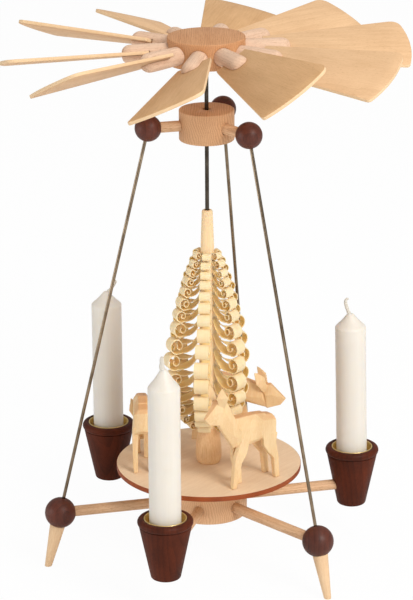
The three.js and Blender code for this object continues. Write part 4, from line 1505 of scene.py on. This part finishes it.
@dataclass
class Fan:
    """The fan's hub with ten turned pegs, each holding a thin blade."""

    count: int = 10
    first_deg: float = 23.0
    height: float = 236.3
    hub_radius: float = 17.1
    hub_thickness: float = 11.7
    hub_edge: float = 0.5
    hub_sides: int = 120
    hub_soft_edge: float = 0.1
    hub_stock: Point = (-9.0, 6.0, 20.0)
    bore_radius: float = 1.1
    bore_depth: float = 9.0
    spigot_radius: float = 2.0
    spigot_start: float = 9.0
    spigot_edge: float = 0.3
    root_start: float = 15.4
    root_radius: float = 4.05
    root_edge: float = 0.2
    waist: float = 21.0
    peg_radius: float = 4.25
    swell: float = 27.0
    swell_half: float = 1.5
    peg_end: float = 36.7
    nose: tuple[Ring, ...] = (
        (0.0, 3.6), (0.13, 2.7), (0.45, 1.8), (1.0, 0.95), (1.75, 0.32), (2.7, 0.0),
    )
    peg_sides: int = 56
    peg_soft_edge: float = 0.14
    peg_stock: Point = (9.0, 5.0, 60.0)
    peg_stock_turn: float = 77.0
    slot_start: float = 24.8
    blade_thickness: float = 1.5
    blade_root: float = 25.5
    blade_root_half: float = 8.0
    blade_corner: float = 86.8
    blade_tip_half: float = 17.65
    blade_bulge: float = 2.9
    blade_soft_edge: float = 0.22
    blade_stock: Point = (17.0, 4.0, 130.0)
    blades_abreast: int = 3
    high_round: float = 4.5
    low_round: float = 1.8
    corner_steps: int = 8
    tip_steps: int = 12
    pitch_degs: tuple[float, ...] = (20.0, 20.5, 12.5, 16.5, 22.0, 16.0, 26.5, 25.0, 32.0, 22.5)
    droop_degs: tuple[float, ...] = (0.5, 0.5, 1.0, 2.5, 0.0, 2.0, 0.5, 2.5, -0.5, 1.5)
    # Blades that wear the darker copy of the blade wood, as painted shade.
    painted_shade_blades: tuple[int, ...] = (2, 7, 8)

    def line_place(self, index: int) -> Matrix:
        """Turns a wing's own line from +X to its direction, with the hub on the origin."""
        azimuth = self.first_deg + index * 360 / self.count
        return turned_about("Z", azimuth) @ turned_about("Y", self.droop_degs[index])

    def wing_place(self, index: int) -> Matrix:
        """Takes a wing from its own line along +X to its place."""
        pitch = turned_about("X", self.pitch_degs[index])
        return moved(0, 0, self.height) @ self.line_place(index) @ pitch

    def peg(self) -> Piece:
        """The turned peg along +Z, with its slot across Y."""
        radius, swell, half = self.peg_radius, self.swell, self.swell_half
        profile = [
            (self.spigot_radius - self.spigot_edge, self.spigot_start),
            (self.spigot_radius, self.spigot_start + self.spigot_edge),
            (self.spigot_radius, self.root_start),
            (self.root_radius - self.root_edge, self.root_start),
            (self.root_radius, self.root_start + self.root_edge),
            (self.root_radius + 0.03, self.waist),
            (radius - 0.04, swell - half),
            (radius, swell + half),
            *((radius - inward, self.peg_end - back) for inward, back in self.nose),
        ]
        peg = turned("peg", profile, self.peg_sides)
        length = self.peg_end + PAST - self.slot_start
        deselect_all()
        bpy.ops.mesh.primitive_cube_add(
            size=MM, location=(0, 0, (self.slot_start + length / 2) * MM),
            scale=(self.blade_thickness + 2 * FIT, 2 * radius + PAST, length),
        )
        tool = bpy.context.object
        bpy.ops.object.transform_apply(location=True, rotation=True, scale=True)
        return smoothed(softened(cut(peg, tool), self.peg_soft_edge, limit_deg=55), angle_deg=35)

    def blade_outline(self) -> list[Vector]:
        """The blade's outline: distance from the axis and distance across, low edge first."""
        corner, half = self.blade_corner, self.blade_tip_half
        slope = (half - self.blade_root_half) / (corner - self.blade_root)

        def tip(across: float) -> Vector:
            """A point of the bulging tip."""
            return Vector((corner + self.blade_bulge * (1 - (across / half) ** 2), across))

        def rounded(start: Vector, middle: Vector, end: Vector) -> list[Vector]:
            """Points of a rounded corner."""
            shares = [step / self.corner_steps for step in range(self.corner_steps + 1)]
            return [start.lerp(middle, s).lerp(middle.lerp(end, s), s) for s in shares]

        low, high = self.low_round - half, half - self.high_round
        low_start = Vector((corner - self.low_round, self.low_round * slope - half))
        high_end = Vector((corner - self.high_round, half - self.high_round * slope))
        return [
            Vector((self.blade_root, self.blade_root_half)),
            Vector((self.blade_root, -self.blade_root_half)),
            *rounded(low_start, Vector((corner, -half)), tip(low)),
            *(tip(low + (high - low) * step / self.tip_steps) for step in range(1, self.tip_steps)),
            *rounded(tip(high), Vector((corner, half)), high_end),
        ]

    def blade(self) -> Piece:
        """The sawn blade along +X: its outline is drawn corner by corner, filled and extruded."""
        outline = [point.to_3d() * MM for point in self.blade_outline()]
        thickness = Vector((0, 0, self.blade_thickness * MM))
        deselect_all()
        bpy.ops.mesh.primitive_plane_add(size=MM)
        blade = bpy.context.object
        with editing(blade):
            bpy.ops.mesh.select_mode(type="VERT")
            bpy.ops.mesh.select_all(action="SELECT")
            bpy.ops.mesh.merge(type="CENTER")
            bpy.ops.mesh.select_all(action="SELECT")
            bpy.ops.transform.translate(value=outline[0] - thickness / 2)
            for before, after in zip(outline, outline[1:]):
                bpy.ops.mesh.extrude_region_move(TRANSFORM_OT_translate={"value": after - before})
            bpy.ops.mesh.select_all(action="SELECT")
            bpy.ops.mesh.edge_face_add()
            bpy.ops.mesh.extrude_region_move(TRANSFORM_OT_translate={"value": thickness})
        blade = smoothed(softened(faced_outwards(blade), self.blade_soft_edge), angle_deg=40)
        dressed(blade, BLADE_WOOD)
        return dressed_where(blade, BLADE_EDGE, lambda _, normal: abs(normal.z) < SIDEWAYS)

    def hub(self) -> Piece:
        """The turned hub on the origin, with its sockets and the spindle's hole."""
        half = self.hub_thickness / 2
        narrow, wide, step = self.spigot_radius + FIT, self.root_radius + FIT, self.root_start - FIT
        end = self.hub_radius + PAST
        profile = [(narrow, self.spigot_start - FIT), (narrow, step), (wide, step), (wide, end)]
        tools = []
        for index in range(self.count):
            place = self.line_place(index) @ ALONG
            tools.append(placed(turned("socket_tool", profile, sides=48), place))
        tools.append(drill(self.bore_radius, -half - PAST, self.bore_depth - half, sides=32))
        hub = rod("hub", self.hub_radius, -half, half, self.hub_edge, self.hub_sides)
        return smoothed(softened(cut(hub, *tools), self.hub_soft_edge, limit_deg=55))

    def build(self) -> None:
        """Models the fan."""
        hub = with_grain(self.hub(), self.hub_stock, ACROSS_GRAIN)
        hub = placed(hub, moved(0, 0, self.height))
        hub.name = "turned_fan_hub"
        keep(hub, FAN_BEECH, Body.FAN.value, Slot.BEECH, "fan_hub")
        peg, blade = self.peg(), self.blade()
        for index in range(self.count):
            number = index + 1
            body, place = f"{Body.WING.value}{number}", self.wing_place(index)
            twin = copied(peg, f"slotted_peg_{number}")
            shift = index * Vector(self.peg_stock)
            with_grain(twin, shift, turned_about("Z", self.peg_stock_turn * index))
            placed(twin, place @ ALONG)
            keep(twin, PEG_WOOD, body, Slot.PALE_WOOD, f"blade_peg_{number}")
            twin = copied(blade, f"sawn_blade_{number}")
            down, across, along = self.blade_stock
            shift = (down * index, across * (index % self.blades_abreast), along * index)
            placed(with_grain(twin, shift, INWARD), place)
            # Painted shade: these blades wear the darker copy of the blade wood.
            if index in self.painted_shade_blades:
                twin.data.materials[0] = PAINTED_SHADE_BLADE.material()
            keep(twin, BLADE_WOOD, body, Slot.THIN_WOOD, f"fan_blade_{number}")
        discard(peg, blade)


@dataclass(frozen=True)
class Lamp:
    """A square soft box. Its place and size are in metres, and its power in watts."""

    name: str
    place: Point
    size: float
    power: float
    tint: Point = (1.0, 1.0, 1.0)

    def build(self, target: Point) -> None:
        """Hangs the lamp, facing the target."""
        deselect_all()
        bpy.ops.object.light_add(type="AREA", location=self.place)
        lamp = bpy.context.object
        lamp.name = self.name
        lamp.data.shape = "SQUARE"
        lamp.data.size = self.size
        lamp.data.energy = self.power
        lamp.data.color = self.tint
        aim = Vector(target) - Vector(self.place)
        lamp.rotation_euler = aim.to_track_quat("-Z", "Y").to_euler()


@dataclass
class Studio:
    """The floor, the light and the camera. Lengths here are in metres."""

    camera_place: Point = (0.324697, -1.120534, 0.524006)
    camera_degs: Point = (70.952377, 0.327614, 16.046889)
    lens: float = 165.586
    sensor: float = 36.0
    shift_x: float = -0.00204
    view_end: float = 20.0
    floor_size: float = 6.0
    floor_drop: float = 0.0002
    floor_white_share: float = 0.96
    sky_strength: float = 0.45
    target: Point = (0.0, 0.0, 0.12)
    lamps: tuple[Lamp, ...] = (
        Lamp("key_box", (1.05, -0.75, 1.1), 0.6, 16.5, (1.0, 0.98, 0.95)),
        Lamp("fill_box", (-1.2, -0.7, 0.12), 0.9, 7.8),
        Lamp("low_box", (0.9, -1.0, 0.08), 0.8, 2.5),
        Lamp("top_box", (0.1, 0.1, 1.4), 0.9, 4.0),
    )

    def build_camera(self) -> None:
        """Places the camera at the photograph's view."""
        deselect_all()
        turn = [math.radians(angle) for angle in self.camera_degs]
        bpy.ops.object.camera_add(location=self.camera_place, rotation=turn)
        camera = bpy.context.object
        camera.name = "photo_camera"
        camera.data.lens = self.lens
        camera.data.sensor_width = self.sensor
        camera.data.sensor_height = self.sensor
        camera.data.shift_x = self.shift_x
        camera.data.clip_end = self.view_end
        bpy.context.scene.camera = camera

    def build_floor(self) -> None:
        """Lays a white floor that keeps a soft shadow."""
        deselect_all()
        place = (0, 0, -self.floor_drop)
        bpy.ops.mesh.primitive_plane_add(size=self.floor_size, location=place)
        floor = bpy.context.object
        floor.name = "studio_floor"
        material = bpy.data.materials.new("studio_floor")
        material.use_nodes = True
        graph = Graph(material.node_tree)
        diffuse = graph.node("ShaderNodeBsdfDiffuse", {"Color": (0.9, 0.9, 0.9, 1.0)})
        white = graph.node("ShaderNodeEmission", {"Color": WHITE, "Strength": 1.0})
        share = graph.math("MULTIPLY", self.seen_directly(graph), self.floor_white_share)
        feeds = {0: share, 1: diffuse.outputs[0], 2: white.outputs[0]}
        mixed = graph.node("ShaderNodeMixShader", feeds)
        graph.node("ShaderNodeOutputMaterial", {"Surface": mixed.outputs[0]})
        floor.data.materials.append(material)

    @staticmethod
    def seen_directly(graph: Graph) -> Any:
        """One for camera and glass rays, and none for the light on the object."""
        rays = graph.node("ShaderNodeLightPath", {}).outputs
        return graph.math("MAXIMUM", rays["Is Camera Ray"], rays["Is Transmission Ray"])

    def build_sky(self) -> None:
        """Lights the room evenly, with a white background."""
        world = bpy.data.worlds.new("studio_sky")
        world.use_nodes = True
        graph = Graph(world.node_tree)
        strength = graph.ranged(self.seen_directly(graph), 0.0, 1.0, (self.sky_strength, 1.0))
        feeds = {"Color": WHITE, "Strength": strength}
        sky = graph.node("ShaderNodeBackground", feeds)
        graph.node("ShaderNodeOutputWorld", {"Surface": sky.outputs[0]})
        bpy.context.scene.world = world

    def build(self) -> None:
        """Sets up the whole studio."""
        self.build_camera()
        self.build_floor()
        self.build_sky()
        for lamp in self.lamps:
            lamp.build(self.target)


def main() -> None:
    """Builds the studio and every sub-assembly."""
    logging.basicConfig(level=logging.INFO, format="%(name)s: %(message)s")
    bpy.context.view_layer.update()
    scene = bpy.context.scene
    scene.view_settings.view_transform = "Standard"
    for part in (Studio(), Stand(), CandleHolders(), Rotor(), ShavedTree(), Fan()):
        part.build()
        logger.info("%s is built", type(part).__name__)
    deselect_all()


if __name__ == "__main__":
    main()
